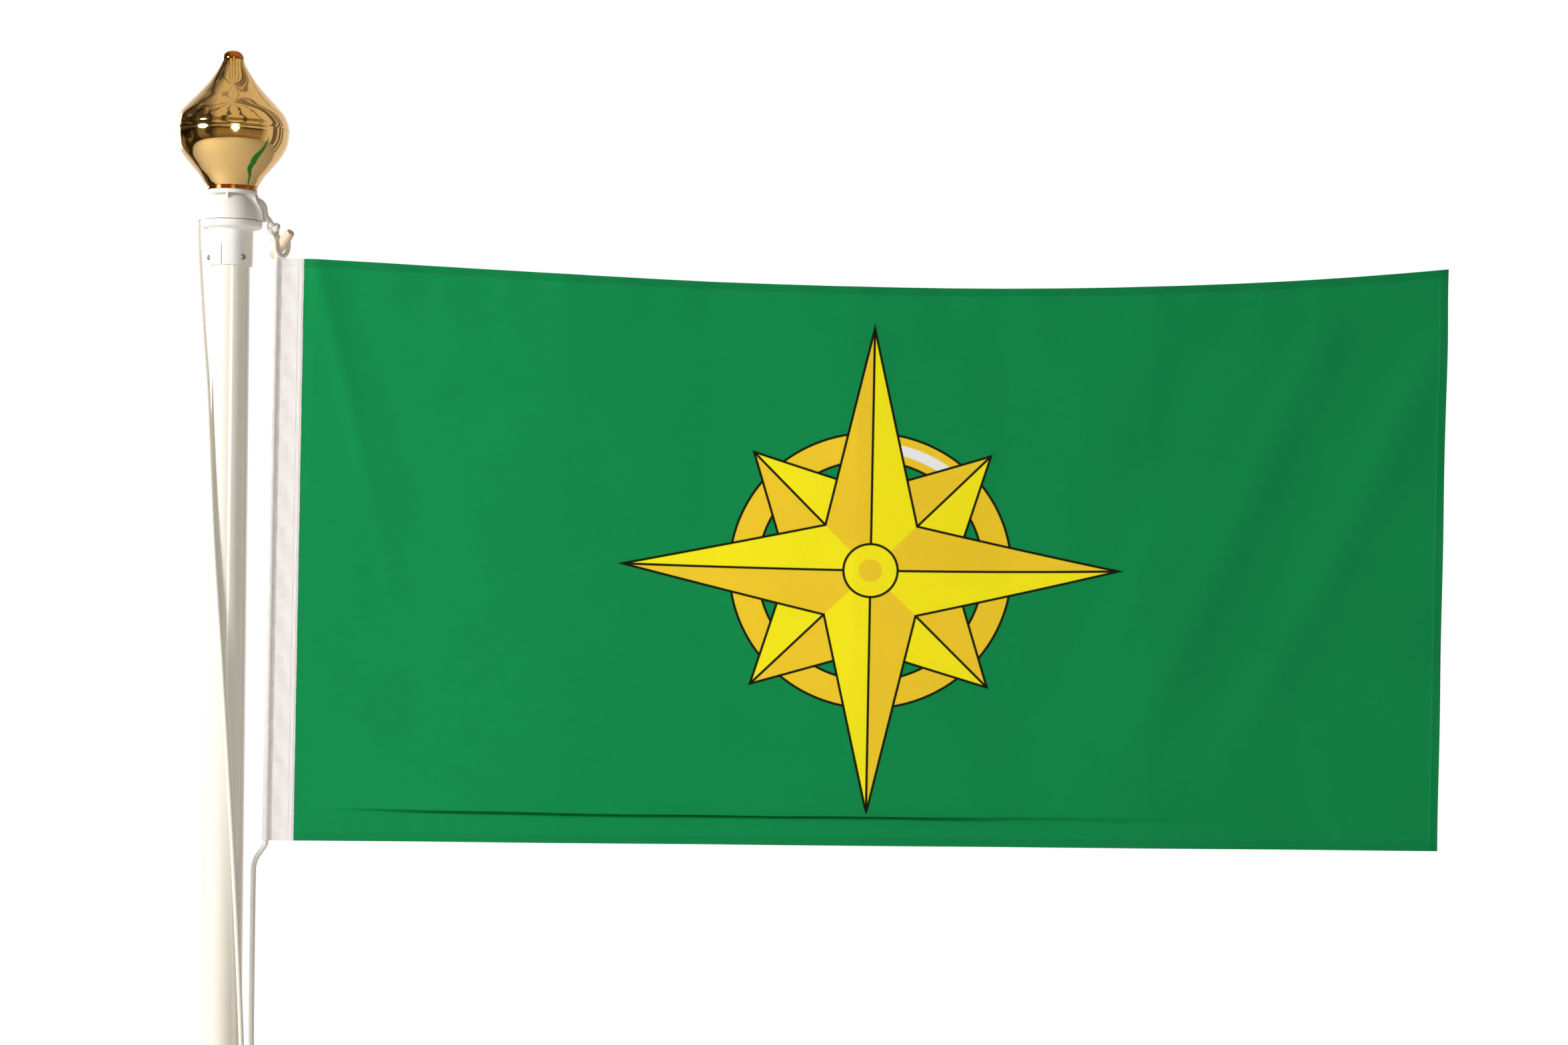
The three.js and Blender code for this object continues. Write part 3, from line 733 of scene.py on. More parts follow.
def woven(tree: Tree, width: float, height: float, thread_mm: float) -> tuple[Node, Node, Node]:
    """Draws plain weave on a piece's own map.

    Args:
        tree: The node tree.
        width: The map's width on the cloth, in metres.
        height: The map's height on the cloth, in metres.
        thread_mm: The thread spacing in mm.

    Returns:
        The weave's height, a slow unevenness, and the map's coordinates in metres.
    """
    spot = add(tree, "ShaderNodeUVMap", uv_map="UVMap")
    metres = add(tree, "ShaderNodeMapping", {"Vector": spot, "Scale": (width, height, 1.0)})
    axes = add(tree, "ShaderNodeSeparateXYZ", [metres])
    waves = []
    for axis in (0, 1):
        turns = add(tree, MATH, [axes.outputs[axis], math.pi / (thread_mm * MM)], operation="MULTIPLY")
        waves.append(add(tree, MATH, [turns], operation="SINE"))
    weave = add(tree, MATH, waves, operation="MULTIPLY")
    slub = add(tree, "ShaderNodeMapping", {"Vector": metres, "Scale": (25.0, 420.0, 1.0)})
    uneven = add(tree, NOISE, {"Vector": slub, "Scale": 1.0, "Detail": 4.0})
    return weave, uneven, metres


@dataclass(frozen=True)
class Canvas(Finish):
    """Plain white cotton canvas: visible thread, slubs, and faint creases with painted shade in them."""

    colour: str = "#e5e1df"
    shade: str = "#d6cfcc"
    width: float = 0.048
    height: float = 0.899
    thread_mm: float = 0.9  # real canvas is about 0.5 mm; coarser so that it shows

    def build(self) -> Material:
        """Builds the material."""
        material, tree, shader = self.start()
        weave, uneven, metres = woven(tree, self.width, self.height, self.thread_mm)
        axes = add(tree, "ShaderNodeSeparateXYZ", [metres])
        creases = add(tree, NOISE, {"Vector": metres, "Scale": 70.0, "Detail": 2.0})
        # painted shade: the crease noise darkens the colour towards the shade colour, as shade in the creases; full
        # up to 31 mm across the map, a quarter of it beyond 34 mm
        share = add(tree, RANGE, {0: creases.outputs[0], 1: 0.35, 2: 0.75, 3: 0.15, 4: 0.75})
        doubled = add(tree, RANGE, {0: axes.outputs[0], 1: 0.031, 2: 0.034, 3: 1.0, 4: 0.25})
        share = add(tree, MATH, [share, doubled], operation="MULTIPLY")
        colour = blended(tree, share, linear(self.colour), linear(self.shade))
        thread = add(tree, RANGE, {0: weave, 1: -1.0, 2: 1.0, 3: 0.0, 4: 0.1})
        colour = blended(tree, thread, colour, linear("#b8aea6"))
        feed(tree, shader, {"Base Color": colour, "Roughness": 0.92, "Specular IOR Level": 0.2})
        relief = add(tree, MATH, [weave, uneven.outputs[0]], operation="ADD")
        bump = add(tree, "ShaderNodeBump", {"Strength": 0.35, "Distance": 0.2 * MM, "Height": relief})
        swell = add(
            tree, "ShaderNodeBump",
            {"Strength": 0.35, "Distance": 1.6 * MM, "Height": creases.outputs[0], "Normal": bump},
        )
        feed(tree, shader, {"Normal": swell})
        return material


@dataclass(frozen=True)
class PrintedCloth(Finish):
    """Dyed woven polyester with a printed compass rose, the same on both faces.

    The map runs from 0 to 1 along the cloth and up it.
    """

    green: str = "#13884a"
    deep: str = "#0e8045"
    yellow: str = "#f0e31c"
    amber: str = "#e9c42c"
    outline: str = "#14160c"
    white: str = "#e8e8e6"
    width: float = 1.768
    height: float = 0.899
    thread_mm: float = 1.1  # real bunting is about 0.35 mm; coarser so that it shows
    long_point: float = 0.375
    short_point: float = 0.255
    long_root: float = 0.098
    short_root: float = 0.125
    ring: float = 0.196
    ring_half: float = 0.020
    hub: float = 0.040
    line: float = 0.0038
    hem: float = 0.0125

    def edge_distance(self, tree: Tree, radius: object, angle: object, tip: float, root: float) -> Node:
        """Measures how far a spot is outside a ring of kite-shaped points.

        Args:
            tree: The node tree.
            radius: The spot's distance from the centre.
            angle: The spot's angle from its nearest point's axis, always positive.
            tip: The points' reach.
            root: The reach of the hollows between them, 45 degrees away.

        Returns:
            The signed distance, negative inside.
        """
        hollow = Vector((root * math.cos(math.pi / 4), root * math.sin(math.pi / 4)))
        side = hollow - Vector((tip, 0))
        normal = Vector((side.y, -side.x)).normalized()
        if normal.x < 0:
            normal = -normal
        across = add(tree, MATH, [angle], operation="COSINE")
        across = add(tree, MATH, [across, radius], operation="MULTIPLY")
        up = add(tree, MATH, [angle], operation="SINE")
        up = add(tree, MATH, [up, radius], operation="MULTIPLY")
        near = add(tree, MATH, [across, normal.x, -normal.x * tip], operation="MULTIPLY_ADD")
        return add(tree, MATH, [up, normal.y, near], operation="MULTIPLY_ADD")

    def band(self, tree: Tree, distance: object, reach: float, soft: float = 0.0006) -> Socket:
        """Turns a distance into a share that is 1 nearer than a reach.

        Args:
            tree: The node tree.
            distance: The distance's socket or node.
            reach: Where the share falls from 1 to 0, in metres.
            soft: Half the width of the fall.

        Returns:
            The share's socket.
        """
        fall = add(tree, RANGE, {0: distance, 1: reach - soft, 2: reach + soft, 3: 1.0, 4: 0.0})
        return fall.outputs[0]

    def rose(self, tree: Tree, metres: object, ground: object) -> Socket:
        """Draws the compass rose over the ground colour.

        Args:
            tree: The node tree.
            metres: The cloth's coordinates in metres.
            ground: The ground colour.

        Returns:
            The printed colour's socket.
        """
        axes = add(tree, "ShaderNodeSeparateXYZ", [metres])
        x = add(tree, MATH, [axes.outputs[0], self.width / 2], operation="SUBTRACT")
        y = add(tree, MATH, [axes.outputs[1], self.height * 0.5], operation="SUBTRACT")
        flat = add(tree, "ShaderNodeCombineXYZ", [x, y, 0.0])
        radius = add(tree, "ShaderNodeVectorMath", [flat], operation="LENGTH").outputs["Value"]
        angle = add(tree, MATH, [y, x], operation="ARCTAN2")
        quarter = math.pi / 2
        colour = ground

        def painted(share: object, paint: object) -> None:
            """Paints one more part of the rose over the colour so far."""
            nonlocal colour
            colour = blended(tree, share, colour, paint)

        from_ring = add(tree, MATH, [radius, self.ring], operation="SUBTRACT")
        from_ring = add(tree, MATH, [from_ring], operation="ABSOLUTE")
        painted(self.band(tree, from_ring, self.ring_half + self.line), linear(self.outline))
        painted(self.band(tree, from_ring, self.ring_half), linear(self.amber))
        gleam = add(tree, MATH, [angle, math.radians(68)], operation="SUBTRACT")
        gleam = add(tree, MATH, [gleam], operation="ABSOLUTE")
        gleam = self.band(tree, gleam, math.radians(15))
        gleam_line = self.band(tree, from_ring, self.ring_half * 0.4)
        painted(add(tree, MATH, [gleam, gleam_line], operation="MULTIPLY"), linear(self.white))
        for turned_by, tip, root in (
            (math.pi / 4, self.short_point, self.short_root),
            (0.0, self.long_point, self.long_root),
        ):
            shifted = add(tree, MATH, [angle, quarter / 2 - turned_by + 4 * quarter], operation="ADD")
            folded = add(tree, MATH, [shifted, quarter], operation="MODULO")
            signed = add(tree, MATH, [folded, quarter / 2], operation="SUBTRACT")
            from_axis = add(tree, MATH, [signed], operation="ABSOLUTE")
            outside = self.edge_distance(tree, radius, from_axis, tip, root)
            side = add(tree, RANGE, {0: signed, 1: -0.002, 2: 0.002, 3: 0.0, 4: 1.0})
            spine = add(tree, MATH, [from_axis], operation="SINE")
            spine = add(tree, MATH, [spine, radius], operation="MULTIPLY")
            facet = blended(tree, side.outputs[0], linear(self.yellow), linear(self.amber))
            facet = blended(tree, self.band(tree, spine, self.line / 2), facet, linear(self.outline))
            painted(self.band(tree, outside, self.line), linear(self.outline))
            painted(self.band(tree, outside, 0.0), facet)
        painted(self.band(tree, radius, self.hub + self.line), linear(self.outline))
        painted(self.band(tree, radius, self.hub), linear(self.yellow))
        painted(self.band(tree, radius, self.hub * 0.45), linear(self.amber))
        return colour

    def build(self) -> Material:
        """Builds the material."""
        material, tree, shader = self.start()
        weave, uneven, metres = woven(tree, self.width, self.height, self.thread_mm)
        ground = blended(tree, uneven.outputs[0], linear(self.green), linear(self.deep))
        colour = self.rose(tree, metres, ground)
        cloud = add(tree, NOISE, {"Vector": metres, "Scale": 7.0, "Detail": 3.0})
        faded = add(tree, RANGE, {0: cloud.outputs[0], 1: 0.3, 2: 0.7, 3: 0.98, 4: 1.02})
        axes = add(tree, "ShaderNodeSeparateXYZ", [metres])
        for axis, edge, tone in ((1, self.height, 0.86), (1, 0.0, 0.92), (0, self.width, 0.9)):
            inward = add(tree, MATH, [axes.outputs[axis], edge], operation="SUBTRACT")
            inward = add(tree, MATH, [inward], operation="ABSOLUTE")
            for reach, share in ((self.hem, 1 - tone), (self.hem * 0.08, 0.1)):
                shade = add(tree, RANGE, {0: inward, 1: reach - 0.0005, 2: reach + 0.0005, 3: 1 - share, 4: 1.0})
                faded = add(tree, MATH, [faded, shade], operation="MULTIPLY")
        threads = add(tree, MATH, [weave, 0.035, faded.outputs[0]], operation="MULTIPLY_ADD")
        tone = add(tree, "ShaderNodeVectorMath", {0: colour, 3: threads}, operation="SCALE")
        feed(tree, shader, {"Base Color": tone, "Roughness": 0.85, "Specular IOR Level": 0.05})
        relief = add(tree, MATH, [weave, uneven.outputs[0]], operation="ADD")
        bump = add(tree, "ShaderNodeBump", {"Strength": 0.35, "Distance": 0.2 * MM, "Height": relief})
        feed(tree, shader, {"Normal": bump})
        return material


@dataclass(frozen=True)
class Thread(Finish):
    """Polyester sewing thread: one colour with a slight shine and a fine twist."""

    colour: str = "#127a41"

    def build(self) -> Material:
        """Builds the material."""
        material, tree, shader = self.start()
        place = add(tree, "ShaderNodeTexCoord").outputs["Object"]
        twist = add(tree, NOISE, {"Vector": place, "Scale": 1 / (0.7 * MM), "Detail": 1.0})
        share = add(tree, MATH, [twist.outputs[0], 0.16], operation="MULTIPLY")
        colour = blended(tree, share, linear(self.colour), (0.0, 0.0, 0.0, 1.0))
        feed(tree, shader, {"Base Color": colour, "Roughness": 0.5})
        return material


@dataclass(frozen=True)
class Studio(Finish):
    """The floor: plain matt white."""

    colour: str = "#f7f6f4"

    def build(self) -> Material:
        """Builds the material."""
        material, tree, shader = self.start()
        feed(tree, shader, {"Base Color": linear(self.colour), "Roughness": 0.9})
        return material


class Slot(Enum):
    """The record's material slots, each with the finish its pieces are given."""

    GALVANISED = ("galvanised_steel", BareMetal("hot_dip_galvanised_steel", spangled=True))
    CAST = ("cast_aluminium", BareMetal("cast_aluminium", "#a6aaad", "#84888b", 0.44, 2.2, 0.4))
    STAINLESS = ("stainless_steel", BareMetal("stainless_screw_steel", "#a8a49c", "#6d675f", 0.24, 1.5, 0.12))
    GELCOAT = ("gelcoat", Gloss("fibreglass_gelcoat", "#ece6db", "#e1d9cb", 0.14, 38.0, 0.05, 0.5))
    TRUCK = ("truck_plastic", Gloss("moulded_white_nylon", "#eeebe6", "#e2ddd4", 0.3, 6.0, 0.06))
    ACETAL = ("acetal", Gloss("turned_acetal", "#e8e4da", "#d8d2c4", 0.38, 4.0, 0.1))
    GILT = ("gilt_plastic", Metallised("metallised_gold_plastic"))
    AMBER = ("amber_plastic", Metallised("metallised_amber_plastic", "#b5651d", "#6e2f08", 0.12))
    BRAID = ("halyard_braid", BraidedYarn("braided_polyester_halyard"))
    BEECH = ("beech", BareWood("sanded_beech"))
    CANVAS = ("canvas", Canvas("cotton_canvas"))
    CLOTH = ("flag_cloth", PrintedCloth("printed_flag_polyester"))

    @property
    def slot(self) -> str:
        """The record's name for the slot."""
        return self.value[0]

    @property
    def material(self) -> Material:
        """The slot's material, built once."""
        finish = self.value[1]
        return bpy.data.materials.get(finish.name) or finish.build()


def dress(piece: Piece, slot: Slot, finish: Finish | None = None) -> Piece:
    """Gives a piece its slot's material.

    Args:
        piece: The piece, a new one or a CAD node.
        slot: The slot it belongs to.
        finish: Another finish than the slot's own, if it has one.

    Returns:
        The same piece.
    """
    material = slot.material
    if finish is not None:
        material = bpy.data.materials.get(finish.name) or finish.build()
    piece.data.materials.clear()
    piece.data.materials.append(material)
    return piece


def place(piece: Piece, body: str, slot: Slot, *nodes: str, finish: Finish | None = None) -> Piece:
    """Dresses a piece, lets it ride on a body and stand for its CAD nodes.

    Args:
        piece: The finished piece.
        body: The CAD body it moves with.
        slot: The material slot.
        *nodes: The CAD nodes it stands for.
        finish: Another finish than the slot's own, if it has one.

    Returns:
        The same piece.
    """
    dress(piece, slot, finish)
    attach(piece, body)
    if nodes:
        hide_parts(*nodes)
    LOG.info("%s: %d faces on %s", piece.name, len(piece.data.polygons), body)
    return piece


# ---- foot
@dataclass
class TiltingFoot:
    """The ground plate with its cheeks, the bolts, and the sleeve the pole stands in."""

    edge: float = 1.2 * MM
    weld: float = 4.0 * MM
    bolt: float = 12 * MM
    thread_pitch: float = 1.75 * MM
    hole: float = 12.8 * MM

    def build(self) -> None:
        """Builds and dresses every piece of the foot."""
        self.plate()
        for side in ("left", "right"):
            piece = machined(f"cheek_{side}", self.edge)
            place(piece, "base", Slot.GALVANISED, f"cheek_{side}")
            self.weld_bead(side)
        for which, body in (("hinge", "base"), ("lock", "pole")):
            self.clamp_bolt(which, body)
        self.sleeve()

    def plate(self) -> None:
        """Builds the ground plate with broken edges."""
        place(machined("ground_plate", self.edge), "base", Slot.GALVANISED, "ground_plate")

    def weld_bead(self, side: str) -> None:
        """Lays a rippled fillet weld along a cheek's outer foot.

        Args:
            side: Which cheek, left or right.
        """
        low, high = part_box(f"cheek_{side}")
        outer = low.x if side == "left" else high.x
        away = -1 if side == "left" else 1
        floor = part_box("ground_plate")[1].z
        count, sides = 260, 14
        rows = []
        for i in range(count):
            t = i / (count - 1)
            y = low.y + 4 * MM + t * (high.y - low.y - 8 * MM)
            taper = min(1.0, 30 * min(t, 1 - t)) ** 0.5
            ripple = 1 + 0.13 * math.cos(math.tau * (y / (2.6 * MM)))
            r = self.weld * taper * ripple
            row = []
            for k in range(sides):
                a = math.tau * k / sides
                row.append((outer + away * r * 0.9 * max(-0.25, math.cos(a)), y, floor + r * max(-0.2, math.sin(a))))
            rows.append(row)
        uv = np.zeros((count, sides + 1, 2))
        piece = grid_mesh(f"weld_{side}", np.array(rows), uv, closed=True, capped=True)
        close_up(piece, 80)
        place(piece, "base", Slot.GALVANISED)

    def clamp_bolt(self, which: str, body: str) -> None:
        """Builds a flanged hexagon bolt across the foot, and its flanged nut.

        Args:
            which: The bolt's name, hinge or lock.
            body: The CAD body it moves with.
        """
        low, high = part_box(f"{which}_bolt")
        height = (low.z + high.z) / 2
        nut_low, nut_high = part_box(f"{which}_nut")
        flange = (high.z - low.z) / 2
        across = 18 * MM
        head_face = low.x + 0.7 * self.bolt
        head = self.hexagon(f"{which}_bolt_finished", across, low.x, head_face)
        collar = bar("flange", 2 * flange, (head_face - 2.2 * MM, 0, 0), (head_face, 0, 0), 64)
        shank = self.threaded_shank(head_face - 1 * MM, high.x)
        fuse(head, collar, shank)
        nut = self.hexagon(f"{which}_nut_finished", across, nut_low.x, nut_high.x)
        fuse(nut, bar("flange", 2 * flange, (nut_low.x, 0, 0), (nut_low.x + 2.2 * MM, 0, 0), 64))
        cut(nut, bar("bore", self.bolt + 0.6 * MM, (nut_low.x - 1 * MM, 0, 0), (nut_high.x + 1 * MM, 0, 0), 48))
        for piece, node in ((head, f"{which}_bolt"), (nut, f"{which}_nut")):
            piece.location = (0, 0, height)
            settle(piece)
            modify(piece, "BEVEL", width=0.3 * MM, segments=2, limit_method="ANGLE", angle_limit=math.radians(50))
            close_up(piece)
            place(piece, body, Slot.GALVANISED, node)

    def hexagon(self, name: str, across: float, x0: float, x1: float) -> Piece:
        """Makes a hexagon with its corners turned off, along X.

        Args:
            name: The piece's name.
            across: The width across flats.
            x0: One end.
            x1: The other end.

        Returns:
            The hexagon.
        """
        piece = bar(name, 2 * across / math.sqrt(3), (x0, 0, 0), (x1, 0, 0), 6)
        outer = across / math.sqrt(3)
        crown = spun(
            "crown",
            [(0, x0 - 1 * MM), (outer - 1.6 * MM, x0 - 1 * MM), (outer + 0.3 * MM, x0 + 1.1 * MM),
             (outer + 0.3 * MM, x1 - 1.1 * MM), (outer - 1.6 * MM, x1 + 1 * MM), (0, x1 + 1 * MM)],
            48,
        )
        crown.rotation_euler = (0, math.pi / 2, 0)
        settle(crown)
        modify(piece, "BOOLEAN", operation="INTERSECT", object=crown, solver="EXACT")
        bpy.data.objects.remove(crown)
        return piece

    def threaded_shank(self, x0: float, x1: float) -> Piece:
        """Makes a shank whose far end has thread ridges.

        Args:
            x0: Where the shank leaves the head.
            x1: The shank's end.

        Returns:
            The shank, along X.
        """
        radius = self.bolt / 2
        profile: Profile = [(0, x0), (radius, x0)]
        spot = x1 - 20 * MM
        while spot < x1 - 2 * MM:
            profile += [(radius, spot), (radius - 0.9 * MM, spot + self.thread_pitch / 2)]
            spot += self.thread_pitch
        profile += [(radius, x1 - 1.5 * MM), (radius - 1.4 * MM, x1), (0, x1)]
        shank = spun("shank", profile, 40)
        shank.rotation_euler = (0, math.pi / 2, 0)
        return settle(shank)

    def sleeve(self) -> None:
        """Builds the cast sleeve with its cross holes and rounded mouth."""
        low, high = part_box("pole_foot")
        outer = high.x
        tube_low, tube_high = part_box("pole_tube")
        bore = tube_high.x + 0.3 * MM
        throat = bore - 6 * MM
        ledge = tube_low.z - 0.3 * MM
        piece = spun(
            "pole_foot_finished",
            rounded([
                (throat, low.z, 0), (outer, low.z, 2.5 * MM), (outer, 0.232, 1 * MM),
                (outer - 1.2 * MM, 0.236, 1 * MM), (outer - 1.2 * MM, high.z - 26 * MM, 1 * MM),
                (outer, high.z - 22 * MM, 1 * MM), (outer, high.z, 2.5 * MM), (bore, high.z, 0.5 * MM),
                (bore, ledge, 0.3 * MM), (throat, ledge, 0.3 * MM), (throat, low.z, 0),
            ]),
            160,
        )
        for which in ("hinge", "lock"):
            bolt_low, bolt_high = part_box(f"{which}_bolt")
            z = (bolt_low.z + bolt_high.z) / 2
            cut(piece, bar("drill", self.hole, (-0.06, 0, z), (0.06, 0, z), 40))
        close_up(piece)
        place(piece, "pole", Slot.CAST, "pole_foot")


# ---- pole
@dataclass
class Pole:
    """The tapered tube and the horn cleat on it."""

    top_radius: float = 28.5 * MM
    wall: float = 3.5 * MM
    screw: float = 5 * MM

    def build(self) -> None:
        """Builds and dresses the tube, the cleat and its screws."""
        self.tube()
        self.cleat()

    def tube(self) -> None:
        """Builds the tapered tube, open at both ends."""
        low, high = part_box("pole_tube")
        profile = [
            (high.x - self.wall, low.z), (high.x, low.z), (self.top_radius, high.z - 1 * MM),
            (self.top_radius - 1 * MM, high.z), (self.top_radius - self.wall, high.z),
        ]
        place(spun("pole_tube_finished", profile, 192), "pole", Slot.GELCOAT, "pole_tube")

    def cleat(self) -> None:
        """Builds the cast horn cleat, its edges well rounded, and two screws."""
        piece = machined("cleat", 2.6 * MM, 5)
        place(piece, "pole", Slot.CAST, "cleat")
        for which in ("upper", "lower"):
            low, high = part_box(f"cleat_screw_{which}")
            z = (low.z + high.z) / 2
            head = (high.z - low.z) / 2
            profile = rounded([
                (0, low.x, 0), (self.screw / 2, low.x, 0.2 * MM), (self.screw / 2, high.x - 2.6 * MM, 0),
                (head, high.x - 2.6 * MM, 0.2 * MM), (head - 0.3 * MM, high.x - 1.2 * MM, 0.8 * MM), (0, high.x, 0),
            ])
            screw = spun(f"cleat_screw_{which}_finished", profile, 48)
            slot = block("slot", (-0.6 * MM, -head, high.x - 1.5 * MM), (0.6 * MM, head, high.x + 1 * MM))
            cut(screw, slot)
            screw.rotation_euler = (0, math.pi / 2, 0)
            screw.location = (0, 0, z)
            close_up(settle(screw))
            place(screw, "pole", Slot.STAINLESS, f"cleat_screw_{which}")


# ---- truck
@dataclass
class Truck:
    """The fixed collar and the turning head with its sheaves."""

    bore: float = 29.1 * MM
    collar_radius: float = 33.1 * MM
    collar_length: float = 58 * MM
    web: float = 8 * MM
    screw_angles: tuple[float, ...] = (45, 165, -75)
    slit: float = 33 * MM
    screw_height: float = 12 * MM
    washer_seat: float = 16.3 * MM
    neck: float = 21 * MM
    channel_half: float = 9 * MM
    channel_wall: float = 5 * MM
    voxel: float = 0.45 * MM

    def build(self) -> None:
        """Builds and dresses every piece of the truck."""
        self.collar()
        self.collar_screws()
        self.housing()
        self.sheaves()
        for node, slot in (
            ("thrust_washer", Slot.ACETAL), ("spindle_bolt", Slot.STAINLESS),
            ("spindle_nut", Slot.STAINLESS), ("sheave_pin_left", Slot.STAINLESS),
            ("sheave_pin_right", Slot.STAINLESS),
        ):
            dress(frame["nodes"][node], slot)

    def collar(self) -> None:
        """Builds the collar with its rounded ring, screw holes and slits."""
        low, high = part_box("truck_collar")
        bottom, top, ring = low.z, high.z, high.x
        ring_bottom = bottom + self.collar_length
        r = self.collar_radius
        piece = spun(
            "truck_collar_finished",
            rounded([
                (self.bore, bottom, 0), (r - 0.7 * MM, bottom, 0.6 * MM), (r, ring_bottom - 3 * MM, 3 * MM),
                (r + 3.4 * MM, ring_bottom, 3 * MM), (ring - 2.2 * MM, ring_bottom, 4 * MM),
                (
                    ring, ring_bottom + 5 * MM, 3 * MM
                ), (ring, top - 0.2 * MM, 0.8 * MM), (ring - 1.4 * MM, top, 0.6 * MM),
                (self.washer_seat, top, 0.3 * MM), (self.washer_seat, top - 2.3 * MM, 0.2 * MM),
                (4.3 * MM, top - 2.3 * MM, 0.2 * MM), (4.3 * MM, top - self.web, 0.2 * MM),
                (self.bore, top - self.web, 1 * MM), (self.bore, bottom, 0),
            ], 5),
            160,
        )
        for angle in self.screw_angles:
            z = bottom + self.screw_height
            cut(piece, turn(bar("drill", 4.6 * MM, (0, -self.bore + 3 * MM, z), (0, -r - 3 * MM, z), 32), angle))
            cut(piece, turn(self.slit_tool(bottom, r), angle - 60))
        modify(piece, "BEVEL", width=0.35 * MM, segments=2, limit_method="ANGLE", angle_limit=math.radians(60))
        close_up(piece)
        place(piece, "pole", Slot.TRUCK, "truck_collar")

    def slit_tool(self, bottom: float, radius: float) -> Piece:
        """Makes the cutter of one slit, round at its upper end.

        Args:
            bottom: The collar's lower edge.
            radius: The collar's radius.

        Returns:
            The cutter, pointing along -Y.
        """
        top = bottom + self.slit - 1 * MM
        tool = block("slit", (-1 * MM, -radius - 3 * MM, bottom - 2 * MM), (1 * MM, -self.bore + 4 * MM, top))
        end = bar("slit_end", 2 * MM, (0, -radius - 3 * MM, top), (0, -self.bore + 4 * MM, top), 24)
        return fuse(tool, end)

    def collar_screws(self) -> None:
        """Builds three pan-head screws with a cross recess."""
        for i, angle in enumerate(self.screw_angles):
            low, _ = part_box("truck_collar")
            z = low.z + self.screw_height
            seat = self.collar_radius + 0.1 * MM
            head = rounded([
                (0, 0, 0), (4.25 * MM, 0, 0.2 * MM), (
                    4.2 * MM, 1.5 * MM, 1.3 * MM
                ), (2.6 * MM, 2.9 * MM, 1.2 * MM), (0, 3.0 * MM, 0),
            ])
            name = f"collar_screw_{i + 1}"
            piece = spun(f"{name}_finished", head, 64)
            for spin in (20, 110):
                tool = block("cross", (-0.55 * MM, -2.3 * MM, 1.5 * MM), (0.55 * MM, 2.3 * MM, 4 * MM))
                cut(piece, turn(tool, spin + 23 * i))
            piece.rotation_euler = (math.pi / 2, 0, 0)
            piece.location = (0, -seat, z)
            settle(piece)
            fuse(piece, bar("shank", 4 * MM, (0, -seat - 0.5 * MM, z), (0, -self.bore + 3 * MM, z), 32))
            close_up(turn(piece, angle), 40)
            place(piece, "pole", Slot.STAINLESS, name)

    def housing(self) -> None:
        """Builds the front half of the head, and turns a copy of it to the rear."""
        front = self.housing_half()
        rear = turn(duplicate(front, "housing_rear_finished"), 180)
        place(front, "truck", Slot.TRUCK, "housing_front")
        place(rear, "truck", Slot.TRUCK, "housing_rear")

    def housing_half(self) -> Piece:
        """Builds one moulded half: dome, channel wall, floor, roof and rib.

        Returns:
            The front half.
        """
        low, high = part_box("housing_front")
        bottom, top = low.z, high.z
        bulge = -low.y
        flange_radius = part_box("finial_base_ring")[1].x
        flange_bottom = top - 6 * MM
        rise = flange_bottom - bottom
        dome = [(0.0, bottom), (bulge, bottom)]
        for k in range(1, 18):
            a = math.pi / 2 * k / 19
            dome.append((self.neck + (bulge - self.neck) * math.cos(a) ** 1.15, bottom + rise * math.sin(a)))
        dome += [(self.neck, flange_bottom + 1 * MM), (0.0, flange_bottom + 1 * MM)]
        piece = spun("housing_front_finished", dome, 128)
        reach = 0.1
        cut(piece, block("rear_cut", (-reach, -self.channel_half, bottom - reach), (reach, reach, top + reach)))
        roof_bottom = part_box("halyard_over_truck")[1].z + 0.5 * MM
        roof = spun(
            "roof",
            rounded([
                (0, roof_bottom, 0), (self.neck, roof_bottom, 0), (self.neck + 1 * MM, flange_bottom, 1 * MM),
                (flange_radius, flange_bottom, 1.2 * MM), (flange_radius, top, 1.2 * MM), (0, top, 0),
            ]),
            128,
        )
        sheave_low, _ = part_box("sheave_right")
        centre = sheave_low.x - 1.5 * MM
        floor = block("floor", (-centre, -self.channel_half - 1 * MM, bottom), (centre, 0, bottom + 4 * MM))
        rib = self.rib(bottom, flange_bottom, bulge)
        cut(roof, block("half_cut", (-reach, -0.15 * MM, bottom - reach), (reach, reach, top + reach)))
        cut(floor, block("half_cut", (-reach, -0.15 * MM, bottom - reach), (reach, reach, top + reach)))
        fuse(piece, self.channel(bottom, flange_bottom, flange_radius, high.x), roof, floor, rib)
        cut(
            piece,
            bar("spindle_hole", 8.6 * MM, (0, 0, bottom - 5 * MM), (0, 0, bottom + 6 * MM)),
            bar("stud_hole", 10.6 * MM, (0, 0, roof_bottom - 3 * MM), (0, 0, top + 3 * MM)),
        )
        modify(piece, "REMESH", mode="VOXEL", voxel_size=self.voxel)
        modify(piece, "SMOOTH", factor=0.5, iterations=2)
        modify(piece, "DECIMATE", ratio=0.35)
        close_up(piece, 60)
        return piece

